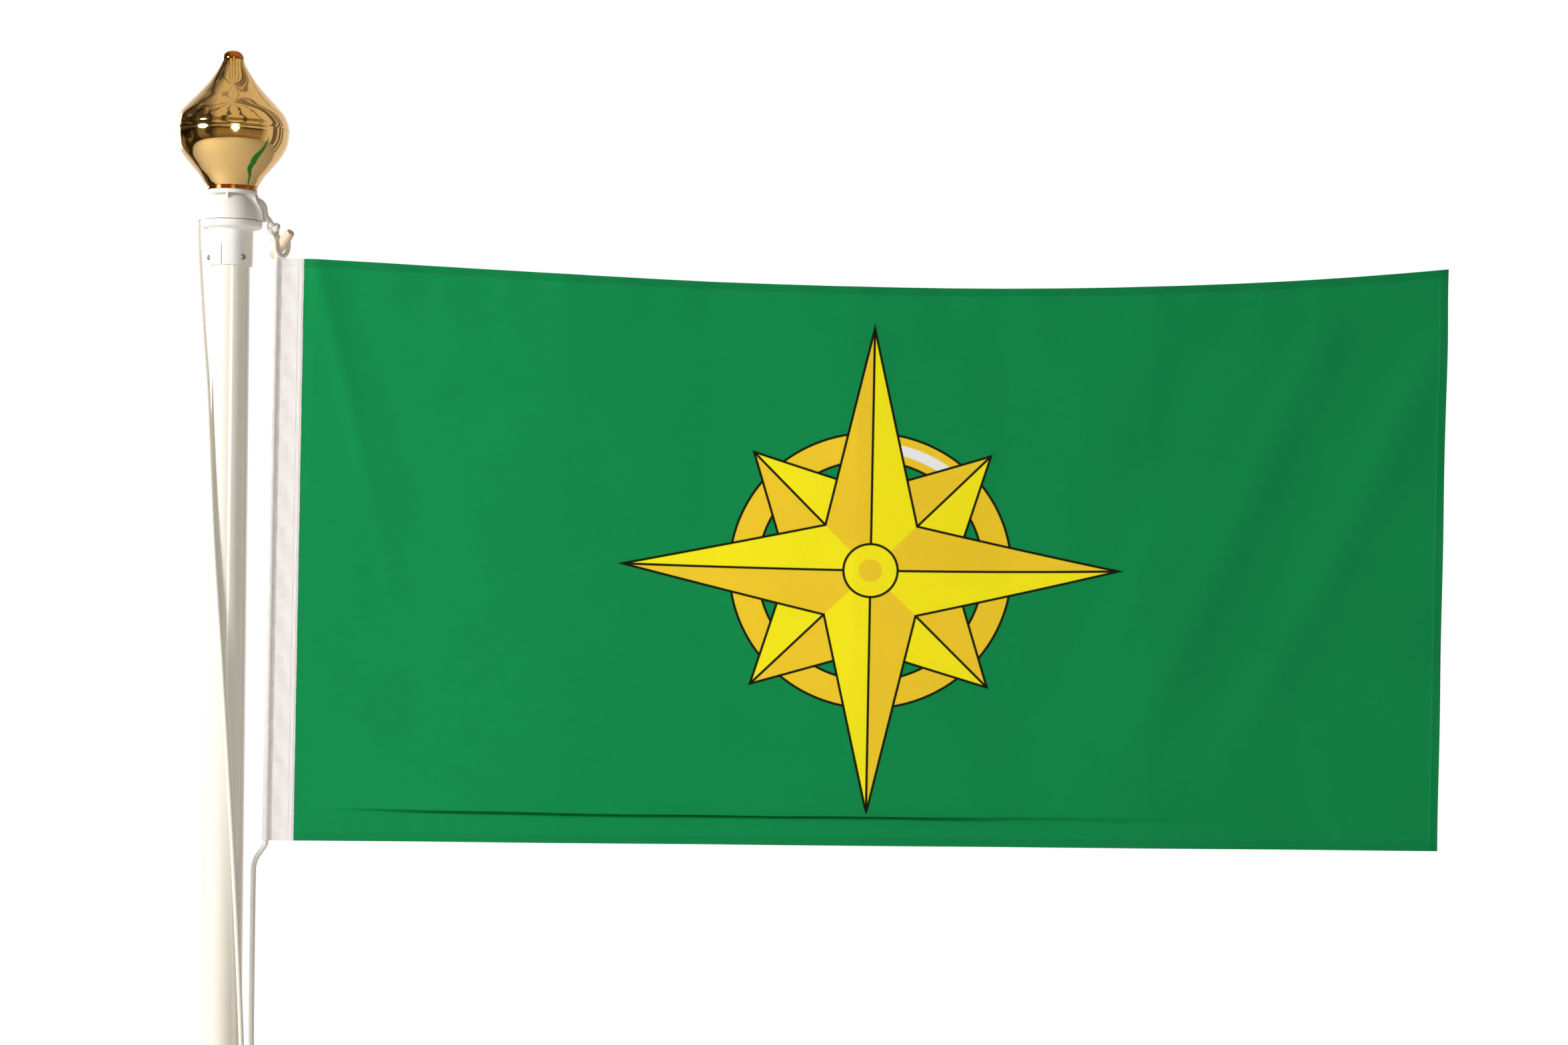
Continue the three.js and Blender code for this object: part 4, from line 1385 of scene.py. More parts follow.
    def channel(self, bottom: float, flange_bottom: float, flange_radius: float, rim: float) -> Piece:
        """Makes the wall beside the sheaves, which flares towards the rope's way out.

        Args:
            bottom: The head's lower edge.
            flange_bottom: The top flange's underside.
            flange_radius: The top flange's radius.
            rim: The wall's half width at its foot.

        Returns:
            The wall.
        """
        side = curved(
            [(rim, bottom), (rim - 0.6 * MM, bottom + 9 * MM), (rim - 3.6 * MM, bottom + 19 * MM),
             (flange_radius + 3 * MM, flange_bottom - 11 * MM), (flange_radius - 0.6 * MM, flange_bottom + 1 * MM)],
            24,
        )
        outline = [*side, *[(-x, z) for x, z in side[::-1]]]
        y0, y1 = -self.channel_half - self.channel_wall, -self.channel_half
        rows = np.array([[(x, y, z) for x, z in outline] for y in (y0, y1)])
        wall = grid_mesh("channel_wall", rows, np.zeros((2, len(outline) + 1, 2)), closed=True, capped=True)
        return close_up(wall)

    def rib(self, bottom: float, flange_bottom: float, bulge: float) -> Piece:
        """Makes the pointed rib under the flange.

        Args:
            bottom: The head's lower edge; not used.
            flange_bottom: The top flange's underside.
            bulge: The dome's greatest radius.

        Returns:
            The rib, at the front.
        """
        reach = bulge - 8 * MM
        outline = [
            (-reach, flange_bottom + 0.5 * MM), (-self.neck + 2 * MM, flange_bottom + 0.5 * MM),
            (-self.neck + 2 * MM, flange_bottom - 15 * MM), (-reach + 1.5 * MM, flange_bottom - 15 * MM),
        ]
        rows = np.array([[(x, y, z) for y, z in outline] for x in (-1.9 * MM, 1.9 * MM)])
        rib = grid_mesh("rib", rows, np.zeros((2, len(outline) + 1, 2)), closed=True, capped=True)
        return close_up(rib)

    def sheaves(self) -> None:
        """Builds both grooved sheaves."""
        for side in ("left", "right"):
            low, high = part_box(f"sheave_{side}")
            half, outer = (high.y - low.y) / 2, (high.z - low.z) / 2
            groove = [
                (
                    outer - 3.6 * MM * math.cos(math.pi / 2 * k / 8) ** 1.5, k / 8 * (half - 0.8 * MM)
                ) for k in range(-8, 9)
            ]
            profile = [(3.3 * MM, -half), (6 * MM, -half), (6.5 * MM, -half + 1 * MM), (11 * MM, -half + 1 * MM),
                       (11.5 * MM, -half), (outer, -half), *groove, (outer, half), (11.5 * MM, half),
                       (11 * MM, half - 1 * MM), (6.5 * MM, half - 1 * MM), (6 * MM, half), (3.3 * MM, half)]
            piece = spun(f"sheave_{side}_finished", profile, 96)
            piece.rotation_euler = (math.pi / 2, 0, 0)
            piece.location = ((low.x + high.x) / 2, 0, (low.z + high.z) / 2)
            close_up(settle(piece))
            place(piece, f"{side}_sheave", Slot.ACETAL, f"sheave_{side}")


# ---- finial
@dataclass
class Finial:
    """The onion finial: base ring, two metallised shells and a tip nut on a stud."""

    wall: float = 2 * MM
    lip: float = 0.7 * MM
    lower: tuple[tuple[float, float], ...] = (
        (0.457, 0), (0.487, 0.06), (0.575, 0.2), (0.71, 0.36), (0.855, 0.54), (0.955, 0.72), (0.995, 0.89), (1, 1),
    )
    upper: tuple[tuple[float, float], ...] = (
        (1, 0), (0.985, 0.1), (0.92, 0.22), (
            0.785, 0.35
        ), (0.6, 0.505), (0.43, 0.66), (0.3, 0.81), (0.215, 0.93), (0.187, 1),
    )

    def build(self) -> None:
        """Builds and dresses every piece of the finial."""
        dress(frame["nodes"]["finial_stud"], Slot.STAINLESS)
        self.base_ring()
        self.shell("finial_lower_shell", self.lower, seam_at_top=True)
        self.shell("finial_upper_shell", self.upper, seam_at_top=False)
        self.tip()

    def base_ring(self) -> None:
        """Builds the amber ring with its moulded steps."""
        low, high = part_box("finial_base_ring")
        outer = high.x
        profile = rounded([
            (5.3 * MM, low.z, 0), (outer, low.z, 0.8 * MM), (outer, low.z + 2.2 * MM, 0.5 * MM),
            (outer - 1.0 * MM, low.z + 2.8 * MM, 0.3 * MM), (outer - 1.0 * MM, low.z + 3.6 * MM, 0.3 * MM),
            (
                outer, low.z + 4.2 * MM, 0.5 * MM
            ), (outer, high.z, 0.8 * MM), (5.3 * MM, high.z, 0.3 * MM), (5.3 * MM, low.z, 0),
        ], 4)
        place(spun("finial_base_ring_finished", profile, 160), "truck", Slot.AMBER, "finial_base_ring")

    def shell(self, node: str, outline: Sequence[tuple[float, float]], seam_at_top: bool) -> None:
        """Builds one thin shell with a rolled lip at the seam.

        Args:
            node: The CAD node it stands for.
            outline: Shares of the greatest radius and of the shell's height.
            seam_at_top: Whether the lip is at the upper edge.
        """
        low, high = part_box(node)
        radius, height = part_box("finial_upper_shell")[1].x, high.z - low.z
        outer = curved([(r * radius, low.z + h * height) for r, h in outline], 56)
        seam = outer[-1] if seam_at_top else outer[0]
        bead = 1.6 * MM
        for point in outer:
            near = abs(point[1] - seam[1]) / bead
            if near < 1.6:
                point[0] += self.lip * (math.cos(math.pi * min(1, near / 1.6)) * 0.5 + 0.5) * 0.8
        inner = [(r - self.wall, z) for r, z in outer[::-1]]
        profile = [tuple(p) for p in outer] + inner
        place(spun(f"{node}_finished", profile, 192), "truck", Slot.GILT, node)

    def tip(self) -> None:
        """Builds the domed tip nut."""
        low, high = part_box("finial_tip")
        outer, bottom, top = high.x, low.z, high.z
        dome = curved(
            [(outer, bottom + 1.4 * MM), (outer - 0.5 * MM, bottom + 5 * MM), (outer * 0.8, bottom + 9.6 * MM),
             (outer * 0.47, bottom + 12.9 * MM), (0.0, top)],
            22,
        )
        profile = [(5.3 * MM, bottom), (outer - 1.2 * MM, bottom), (outer - 0.2 * MM, bottom + 0.5 * MM),
                   *[
                       tuple(p) for p in dome[:-1]
                   ], (0.0, top), (0.0, bottom + 7 * MM), (5.3 * MM, bottom + 7 * MM), (5.3 * MM, bottom)]
        piece = spun("finial_tip_finished", profile[:-1], 96)
        place(piece, "truck", Slot.AMBER, "finial_tip")


# ---- halyard
@dataclass
class BraidedRope:
    """A rope laid along a route, with the strands of its braid modelled."""

    diameter: float = 8 * MM
    strands: int = 8
    pitch: float = 35 * MM
    depth: float = 0.19
    step: float = 1.15 * MM
    sides: int = 32

    def section(self, along: np.ndarray, width: float) -> np.ndarray:
        """Works out the rope's radius round each of its rings.

        Args:
            along: Each ring's distance from the rope's start.
            width: The rope's diameter.

        Returns:
            Radii, one row for each ring.
        """
        a = np.arange(self.sides) * math.tau / self.sides
        s = along[:, None] * math.tau * self.strands / self.pitch
        one = np.cos((self.strands * a)[None] + s) * 0.5 + 0.5
        other = np.cos((self.strands * a)[None] - s) * 0.5 + 0.5
        ridge = np.maximum(one, other) ** 0.7
        return width / 2 * (1 - self.depth + self.depth * ridge)

    def tube(self, name: str, route: Sequence[Point], width: float | None = None) -> Piece:
        """Makes the braided mesh along a route.

        Args:
            name: The piece's name.
            route: The centreline's points in metres.
            width: A diameter other than the rope's own.

        Returns:
            The closed rope mesh.
        """
        width = width or self.diameter
        rough = curved(route, 400)
        length = float(np.linalg.norm(np.diff(rough, axis=0), axis=1).sum())
        count = max(8, round(length / self.step))
        line = curved(route, count)
        ahead = np.gradient(line, axis=0)
        ahead /= np.linalg.norm(ahead, axis=1)[:, None]
        side = np.cross(ahead[0], (0.31, 0.93, 0.2))
        frames = []
        for t in ahead:
            side = side - t * float(side @ t)
            side = side / np.linalg.norm(side)
            frames.append((side, np.cross(t, side)))
        along = np.linspace(0, length, count)
        radius = self.section(along, width)
        radius[0] *= 0.9
        radius[-1] *= 0.9
        a = np.arange(self.sides) * math.tau / self.sides
        across = np.array([np.outer(np.cos(a), u) + np.outer(np.sin(a), v) for u, v in frames])
        rows = line[:, None] + across * radius[:, :, None]
        uv = np.stack(np.broadcast_arrays(along[:, None], np.arange(self.sides + 1)[None] / self.sides), 2)
        return grid_mesh(name, rows, uv, closed=True, capped=True)


@dataclass
class Halyard:
    """Every stretch of the halyard, from the flag's foot over the truck and back."""

    rope: BraidedRope
    diameter: float = 8 * MM
    left_fall: tuple[Point, ...] = (
        (-51.7, 0, 2502.8), (-51.7, -0.4, 2488), (-51.2, -1, 2466), (-46.5, -5, 2406), (-37, -13.5, 2300),
        (-28, -22, 2210), (-14, -32, 1990), (1.2, -35.4, 1798), (12.5, -33.4, 1634), (21, -29.6, 1500),
        (28.8, -24, 1350), (34.8, -19.5, 1213), (40, -16, 1090), (44, -13.5, 970), (45.5, -13.5, 908),
    )
    upper_fall: tuple[Point, ...] = (
        (64.7, 0, 1530), (63.6, -0.3, 1524), (58, -0.8, 1515), (51, -1.4, 1504), (47.2, -1.8, 1493),
        (46.3, -2, 1478), (46, -2, 1400), (46, -1.8, 1300), (46.5, -1.4, 1213), (49.5, 0, 1130), (52.6, 1.5, 1061),
    )
    lower_fall: tuple[Point, ...] = (
        (52.6, 1.5, 1060), (54, 3.4, 1020), (54.4, 6.5, 980), (53.4, 9.6, 950), (51, 11.6, 925), (48, 12.4, 908),
    )
    upper_rope: tuple[Point, ...] = ((51.7, 0, 2502.6), (52.6, 0, 2497), (55.5, 0, 2491.5), (59, 0, 2487.8))

    def build(self) -> None:
        """Builds and dresses every stretch."""
        self.over_truck()
        left = self.stretch("halyard_left_fall", self.left_fall, "left_fall")
        upper = self.stretch("halyard_upper_fall", self.upper_fall, "upper_fall")
        lower = self.stretch("halyard_lower_fall", self.lower_fall, "lower_fall")
        short = self.stretch("halyard_short_end", self.upper_rope, "upper_rope")
        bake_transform(left)
        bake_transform(lower)
        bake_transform(short)
        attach(upper, "truck")
        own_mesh(upper)
        self.cleat_turns()

    def metres(self, route: Sequence[Point]) -> list[Point]:
        """Turns a route in millimetres into metres."""
        return [tuple(c * MM for c in p) for p in route]

    def stretch(self, name: str, route: Sequence[Point], node: str) -> Piece:
        """Builds one stretch of rope that stands for a CAD node.

        Args:
            name: The piece's name.
            route: Its points in millimetres.
            node: The CAD node it stands for.

        Returns:
            The piece, dressed.
        """
        piece = self.rope.tube(name, self.metres(route))
        dress(piece, Slot.BRAID)
        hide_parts(node)
        LOG.info("%s: %d faces", name, len(piece.data.polygons))
        return piece

    def over_truck(self) -> None:
        """Builds the stretch that runs over both sheaves."""
        low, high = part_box("halyard_over_truck")
        half = (high.x - low.x) / 2 - self.diameter / 2
        top = high.z - self.diameter / 2
        sheave_low, sheave_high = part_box("sheave_right")
        x, z = (sheave_low.x + sheave_high.x) / 2, (sheave_low.z + sheave_high.z) / 2
        bend = half - x
        right = [(x + bend * math.cos(a), 0, z + bend * math.sin(a)) for a in np.linspace(0, math.pi / 2, 7)]
        left = [(-px, py, pz) for px, py, pz in right]
        meet = self.left_fall[0][2] * MM - 1.5 * MM
        route = [(-half, 0, meet), *left, (0, 0, top), *right[::-1], (half, 0, meet)]
        place(self.rope.tube("halyard_over_sheaves", route), "truck", Slot.BRAID, "halyard_over_truck")

    def cleat_turns(self) -> None:
        """Winds the halyard on the cleat: round turns under the horns and crossed turns over them."""
        low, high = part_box("cleat_turns")
        cleat_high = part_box("cleat")[1]
        middle = (low.z + high.z) / 2
        x = (low.x + high.x) / 2 - 1 * MM
        points = []
        for k in range(49):
            a = math.pi / 2 + math.tau * k / 24
            layer = k / 48
            points.append((
                x + (layer - 0.5) * 7.0 * MM,
                (12.0 + 1.5 * layer) * MM * math.cos(a),
                middle + (33 + 2 * layer) * MM * math.sin(a),
            ))
        front = cleat_high.x + 2.0 * MM
        crossed = []
        for k in range(37):
            a = math.pi / 2 + math.tau * k / 24
            swing = math.sin(2 * a)
            depth = abs(math.sin(a)) ** 3
            crossed.append((
                front - depth * 15 * MM + (k / 36) * 2.5 * MM,
                -13.5 * MM * swing,
                middle + 49 * MM * math.sin(a),
            ))
        place(self.rope.tube("halyard_round_turns", points, 7.4 * MM), "pole", Slot.BRAID, "cleat_turns")
        place(self.rope.tube("halyard_crossed_turns", crossed, 7.4 * MM), "pole", Slot.BRAID)


# ---- flag
@dataclass
class Knot:
    """The halyard's knot, its eye, and the beech toggle that the eye is buttoned on."""

    rope: BraidedRope
    toggle_centre: Point = (78.5, -3, 2451.5)
    toggle_axis: Point = (0.6, -0.46, 0.655)
    toggle_length: float = 54 * MM
    toggle_radius: float = 9 * MM
    toggle_end: float = 6.5 * MM
    eye_width: float = 7.0 * MM

    def build(self) -> None:
        """Builds and dresses the toggle, the knot and the eye."""
        self.toggle()
        self.knot()
        self.eye()

    def toggle(self) -> None:
        """Turns the barrel-shaped toggle and lays it through the eye."""
        half = self.toggle_length / 2
        barrel = curved(
            [(self.toggle_end, -half + 1.2 * MM), (
                self.toggle_end + 1.5 * MM, -half * 0.5
            ), (self.toggle_radius - 0.3 * MM, -4 * MM),
             (self.toggle_radius - 0.3 * MM, 4 * MM), (
                 self.toggle_end + 1.5 * MM, half * 0.5
             ), (self.toggle_end, half - 1.2 * MM)],
            34,
        )
        profile = [(0.0, -half), (self.toggle_end - 1.4 * MM, -half), (self.toggle_end - 0.4 * MM, -half + 0.3 * MM),
                   *[tuple(p) for p in barrel], (
                       self.toggle_end - 0.4 * MM, half - 0.3 * MM
                   ), (self.toggle_end - 1.4 * MM, half), (0.0, half)]
        piece = spun("toggle_finished", profile, 64)
        piece.rotation_mode = "QUATERNION"
        piece.rotation_quaternion = Vector(self.toggle_axis).to_track_quat("Z", "Y")
        piece.location = Vector(self.toggle_centre) * MM
        place(settle(piece), "flag", Slot.BEECH, "toggle")

    def knot(self) -> None:
        """Ties an overhand knot in the halyard."""
        low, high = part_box("eye_knot")
        centre, size = (low + high) / 2, high - low
        line = []
        for k in range(73):
            t = math.tau * k / 72
            line.append((
                centre.x + (math.sin(t) + 2 * math.sin(2 * t)) / 3 * (size.x / 2 - 5.0 * MM),
                centre.y - math.sin(3 * t) * (size.y / 2 - 3.8 * MM),
                centre.z + (math.cos(t) - 2 * math.cos(2 * t)) / 3 * (size.z / 2 - 5.0 * MM),
            ))
        place(self.rope.tube("halyard_knot", line, 9.6 * MM), "flag", Slot.BRAID, "eye_knot")
        lead = [
            (58.6 * MM, 0, 2488.6 * MM), (60.6 * MM, 0, 2484.5 * MM), (63.2 * MM, 0.6 * MM, 2479 * MM),
            (65 * MM, 1 * MM, 2473 * MM),
        ]
        place(self.rope.tube("halyard_knot_lead", lead), "flag", Slot.BRAID)

    def eye(self) -> None:
        """Leads the eye from under the knot round the toggle's waist."""
        cx, cy, cz = self.toggle_centre
        low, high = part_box("eye_knot")
        knot_x, knot_bottom = (low.x + high.x) / 2 / MM, low.z / MM

        def spot(side: float, z: float, x: float = cx, y: float = cy) -> Point:
            """Gives a point beside (x, y), out along the toggle's face, from millimetres."""
            return ((x + side * 0.625) * MM, (y + side * 0.78) * MM, z * MM)

        route = [
            spot(-3, knot_bottom + 4, knot_x + 1, -1), spot(-5, knot_bottom - 3, knot_x + 2, -1),
            spot(
                -11.5, cz + 11, cx - 5
            ), spot(-13.2, cz + 2), spot(-12, cz - 9), spot(-6, cz - 17), spot(0, cz - 18.2),
            spot(6, cz - 17), spot(12, cz - 9), spot(13.4, cz + 4), spot(11.5, cz + 11, cx - 3),
            spot(4, knot_bottom - 2.6, knot_x + 2.5, 1), spot(2.5, knot_bottom + 4, knot_x + 2, 1),
        ]
        place(self.rope.tube("halyard_eye", route, self.eye_width), "flag", Slot.BRAID, "eye_loop")


@dataclass
class Flag:
    """The cloth, its hems and stitching, the canvas hoist band and the rope in its tunnel."""

    rope: BraidedRope
    length: float = 1.768
    height: float = 0.899
    thickness: float = 0.45 * MM
    hem: float = 12.5 * MM
    hoist_bottom: float = 59 * MM
    hoist_top: float = 65 * MM
    band: float = 48 * MM
    sag: float = 36 * MM
    low_point: float = 0.57
    fly_rise: float = 5 * MM
    pleat_height: float = 49 * MM
    pleat_depth: float = 11.0 * MM
    panel_depth: float = 3.4 * MM
    panels: int = 8
    stitch_pitch: float = 3.2 * MM
    stitch_length: float = 2.3 * MM

    def __post_init__(self) -> None:
        """Takes the flag's foot and head from the frame."""
        low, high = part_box("hoist_band")
        self.foot, self.head = low.z, high.z

    def build(self) -> None:
        """Builds and dresses every piece of the flag."""
        cloth = self.cloth()
        hems = self.stitches("hem_stitches", self.hem_lines(), Thread("green_sewing_thread"), Slot.CLOTH)
        band = self.hoist_band()
        seams = self.stitches(
            "band_stitches", self.band_lines(), Thread("white_sewing_thread", "#efebe7"), Slot.CANVAS
        )
        place(cloth, "flag", Slot.CLOTH, "flag_cloth")
        place(band, "flag", Slot.CANVAS, "hoist_band")
        top, bottom = Vector((70.4, 0, 2429)) * MM, Vector((64.8, 0, 1532.4)) * MM
        crown = [
            tuple(bottom), tuple(bottom.lerp(top, 0.5)), tuple(top), (74.5 * MM, -1.5 * MM, 2436 * MM),
            (77.5 * MM, -2.5 * MM, 2443 * MM),
        ]
        rope = self.rope.tube("hoist_rope_finished", crown, 7.4 * MM)
        place(rope, "flag", Slot.BRAID, "hoist_rope")

    def sagging(self, u: np.ndarray) -> np.ndarray:
        """Works out how far the top edge sags.

        Args:
            u: Shares of the flag's length from the hoist.

        Returns:
            The sag in metres.
        """
        warped = u ** (math.log(0.5) / math.log(self.low_point))
        return 4 * self.sag * warped * (1 - warped)

    def surface(self, u: np.ndarray, v: np.ndarray) -> np.ndarray:
        """Gives the cloth's middle surface.

        Args:
            u: Shares of the length, 0 at the hoist.
            v: Shares of the height, 0 at the foot.

        Returns:
            Points in the frame, one for each pair.
        """
        u, v = np.broadcast_arrays(u, v)
        hoist = self.hoist_bottom + (self.hoist_top - self.hoist_bottom) * v + self.band
        x = hoist + u * self.length
        sag = self.sagging(u)
        fold = self.pleat_height / self.height
        taken = 0.4 * self.smooth(v, fold - 0.012, fold + 0.03) + 0.6 * np.clip((v - fold) / (1 - fold), 0, 1)
        z = self.foot + v * self.height + u * self.fly_rise - sag * taken
        return np.stack([x, self.billow(u, v, sag), z], -1)

    @staticmethod
    def smooth(value: np.ndarray, low: float, high: float) -> np.ndarray:
        """Steps smoothly from 0 at low to 1 at high."""
        t = np.clip((value - low) / (high - low), 0, 1)
        return t * t * (3 - 2 * t)

    def billow(self, u: np.ndarray, v: np.ndarray, sag: np.ndarray) -> np.ndarray:
        """Gives the cloth's depth: the slack fold, package creases and soft waves.

        Args:
            u: Shares of the length.
            v: Shares of the height.
            sag: The top edge's sag at each point; not used.

        Returns:
            Depths in metres, negative towards the front.
        """
        along, up = u * self.length, v * self.height
        down, fly = self.height - up, self.length - along
        depth = self.slack_fold(u, up) + self.package_creases(along, up, v)
        depth = depth - self.ridge(along - 18 * MM - 0.26 * down, 16 * MM, 2.0 * MM) * self.smooth(v, 0.35, 0.75)
        depth += self.ridge(along - 60 * MM - 0.35 * down, 30 * MM, 1.6 * MM) * self.smooth(v, 0.3, 0.7)
        soft = self.smooth(v, 0.08, 0.35) * (1 - self.smooth(v, 0.86, 0.98))
        depth -= self.ridge(fly - 0.15 - 0.44 * down, 42 * MM, 4.2 * MM) * soft
        depth -= self.ridge(fly + 0.045 - 0.48 * down, 38 * MM, 3.4 * MM) * soft
        depth += self.ridge(fly - 0.34 - 0.40 * down, 60 * MM, 3.0 * MM) * soft
        depth += 1.6 * MM * np.sin(along * 3.3 + 1.9) * np.sin(up * 4.2 + 0.5)
        depth += 0.35 * MM * np.sin(along * 31 + 5 * up) * np.sin(up * 17 + 2 * along)
        depth += 0.5 * MM * np.sin(along * 70 + 1.2) * np.exp(-(down / (60 * MM)))
        edge_slack = 1.3 * MM * np.sin(up * 23 + 0.4) * np.exp(-fly / (45 * MM))
        held = self.smooth(u, 0, 0.012)
        return (depth + edge_slack) * held

    @staticmethod
    def ridge(away: np.ndarray, half: float, height: float) -> np.ndarray:
        """Gives a soft ridge by the distance from its crest."""
        return height * np.exp(-((away / half) ** 2))

    def slack_fold(self, u: np.ndarray, up: np.ndarray) -> np.ndarray:
        """Gives the fold where the slack cloth rests over the straight lower hem.

        Args:
            u: Shares of the length.
            up: Heights above the lower edge in metres.

        Returns:
            Depths in metres.
        """
        strength = self.smooth(u, 0.0, 0.16) * (1 - 0.45 * self.smooth(u, 0.5, 0.72)) * (1 - self.smooth(u, 0.7, 0.9))
        line = self.pleat_height - 4 * MM * u + 0.7 * MM * np.sin(u * 15) + 0.4 * MM * np.sin(u * 41)
        wide = (2.4 + 9 * self.smooth(u, 0.5, 0.85) + 2 * (1 - self.smooth(u, 0, 0.1))) * MM
        over = self.smooth((up - line) / wide, -1.0, 1.0)
        crease = 3.2 * MM * np.exp(-(((up - line + wide) / wide) ** 2))
        front = -self.pleat_depth * over * np.exp(-np.maximum(0, up - line) / (48 * MM))
        behind = 1.6 * MM * (1 - over) * np.exp(-np.maximum(0, line - up) / (11 * MM))
        return strength * (front + behind + crease)

    def package_creases(self, along: np.ndarray, up: np.ndarray, v: np.ndarray) -> np.ndarray:
        """Gives the zigzag left by folding the cloth in panels for its packet.

        Args:
            along: Distances from the hoist in metres.
            up: Heights above the lower edge in metres.
            v: The same heights as shares.

        Returns:
            Depths in metres.
        """
        panel = (self.length + self.band) / self.panels
        phase = (along + self.band) / panel
        folded = 1 - 2 * np.abs((phase % 2) - 1)
        rounded_off = np.sign(folded) * (1 - (1 - np.abs(folded)) ** 1.04)
        zigzag = rounded_off * self.panel_depth * (0.5 + 0.5 * v) * (0.8 + 0.2 * np.sin(up * 6 + phase))
        near = (phase - np.round(phase)) * panel
        crest = -0.28 * MM * np.exp(-((near / (2.6 * MM)) ** 2)) * (0.6 + 0.4 * np.sin(21 * up + 3 * np.round(phase)))
        return zigzag + crest

    def lines(
        self, low_edge: float, high_edge: float, total: float, count: int, close: tuple[float, float] = (0, 0)
    ) -> np.ndarray:
        """Spaces grid lines evenly, with close pairs where a hem steps.

        Args:
            low_edge: The hem's width at the low end, 0 for none.
            high_edge: The hem's width at the high end.
            total: The cloth's extent.
            count: How many even lines to start from.
            close: A stretch, in metres, with lines every millimetre.

        Returns:
            Sorted shares from 0 to 1.
        """
        spots = [s * total for s in np.linspace(0, 1, count)]
        if close[1] > 0:
            spots = [s for s in spots if not close[0] <= s <= close[1]]
            spots += list(np.arange(close[0], close[1], 1.0 * MM))
        for step in (s for s in (low_edge, total - high_edge) if 0 < s < total):
            spots = [s for s in spots if abs(s - step) > 1.2 * MM]
            spots += [step - 0.35 * MM, step + 0.35 * MM]
        return np.array(sorted(spots)) / total

    def cloth(self) -> Piece:
        """Builds the cloth with doubled hems on three sides.

        Returns:
            The closed cloth.
        """
        u = self.lines(0, self.hem, self.length, 330)
        v = self.lines(self.hem, self.hem, self.height, 108, (38 * MM, 62 * MM))
        rows = self.surface(u[None], v[:, None])
        uv = np.stack(np.broadcast_arrays(u[None], v[:, None]), 2)
        piece = grid_mesh("flag_cloth_finished", rows, uv)
        doubled = (v * self.height < self.hem) | (v * self.height > self.height - self.hem)
        doubled = doubled[:, None] | (u * self.length > self.length - self.hem)[None]
        group = piece.vertex_groups.new(name="hem")
        flat = doubled.ravel()
        group.add(np.flatnonzero(flat).tolist(), 1.0, "REPLACE")
        group.add(np.flatnonzero(~flat).tolist(), 0.4, "REPLACE")
        modify(
            piece, "SOLIDIFY", thickness=self.thickness / 0.4, offset=0, vertex_group="hem",
            thickness_vertex_group=0.0, use_rim=True,
        )
        focus(piece)
        bpy.ops.object.shade_smooth_by_angle(angle=math.radians(50))
        return piece

    def hem_lines(self) -> list[tuple[np.ndarray, np.ndarray]]:
        """Lays out the hem stitching as runs of stitch ends.

        Returns:
            Start and end points of each run's stitches.
        """
        inset = self.hem - 2 * MM
        runs = []
        for v in (inset / self.height, 1 - inset / self.height):
            count = int(self.length / self.stitch_pitch)
            at = np.arange(count) * self.stitch_pitch / self.length
            reach = self.stitch_length / self.length
            runs.append((self.surface(at, np.full(count, v)), self.surface(at + reach, np.full(count, v))))
        for inset_x in (2 * MM, inset):
            count = int(self.height / self.stitch_pitch)
            at = np.arange(count) * self.stitch_pitch / self.height
            reach = self.stitch_length / self.height
            u = np.full(count, 1 - inset_x / self.length)
            runs.append((self.surface(u, at), self.surface(u, at + reach)))
        return runs

    def band_lines(self) -> list[tuple[np.ndarray, np.ndarray]]:
        """Lays out the band's stitching: the tunnel, the cloth's edge and both ends.

        Returns:
            Start and end points of each run's stitches.
        """
        runs = []
        for across in (13.8 * MM, self.band - 3 * MM, self.band - 9 * MM):
            count = int((self.height - 8 * MM) / self.stitch_pitch)
            z = self.foot + 4 * MM + np.arange(count) * self.stitch_pitch
            low = np.stack([self.edge(z) + across, np.zeros(count), z], -1)
            high_z = z + self.stitch_length
            runs.append((low, np.stack([self.edge(high_z) + across, np.zeros(count), high_z], -1)))
        for z in (self.foot + 10 * MM, self.head - 10 * MM):
            count = int((self.band - 18 * MM) / self.stitch_pitch)
            x = self.edge(np.full(count, z)) + 15 * MM + np.arange(count) * self.stitch_pitch
            low = np.stack([x, np.zeros(count), np.full(count, z)], -1)
            runs.append((low, low + (self.stitch_length, 0, 0)))
        return runs

    def edge(self, z: np.ndarray) -> np.ndarray:
        """Gives the hoist band's outer edge at a height."""
        return self.hoist_bottom + (self.hoist_top - self.hoist_bottom) * (z - self.foot) / self.height

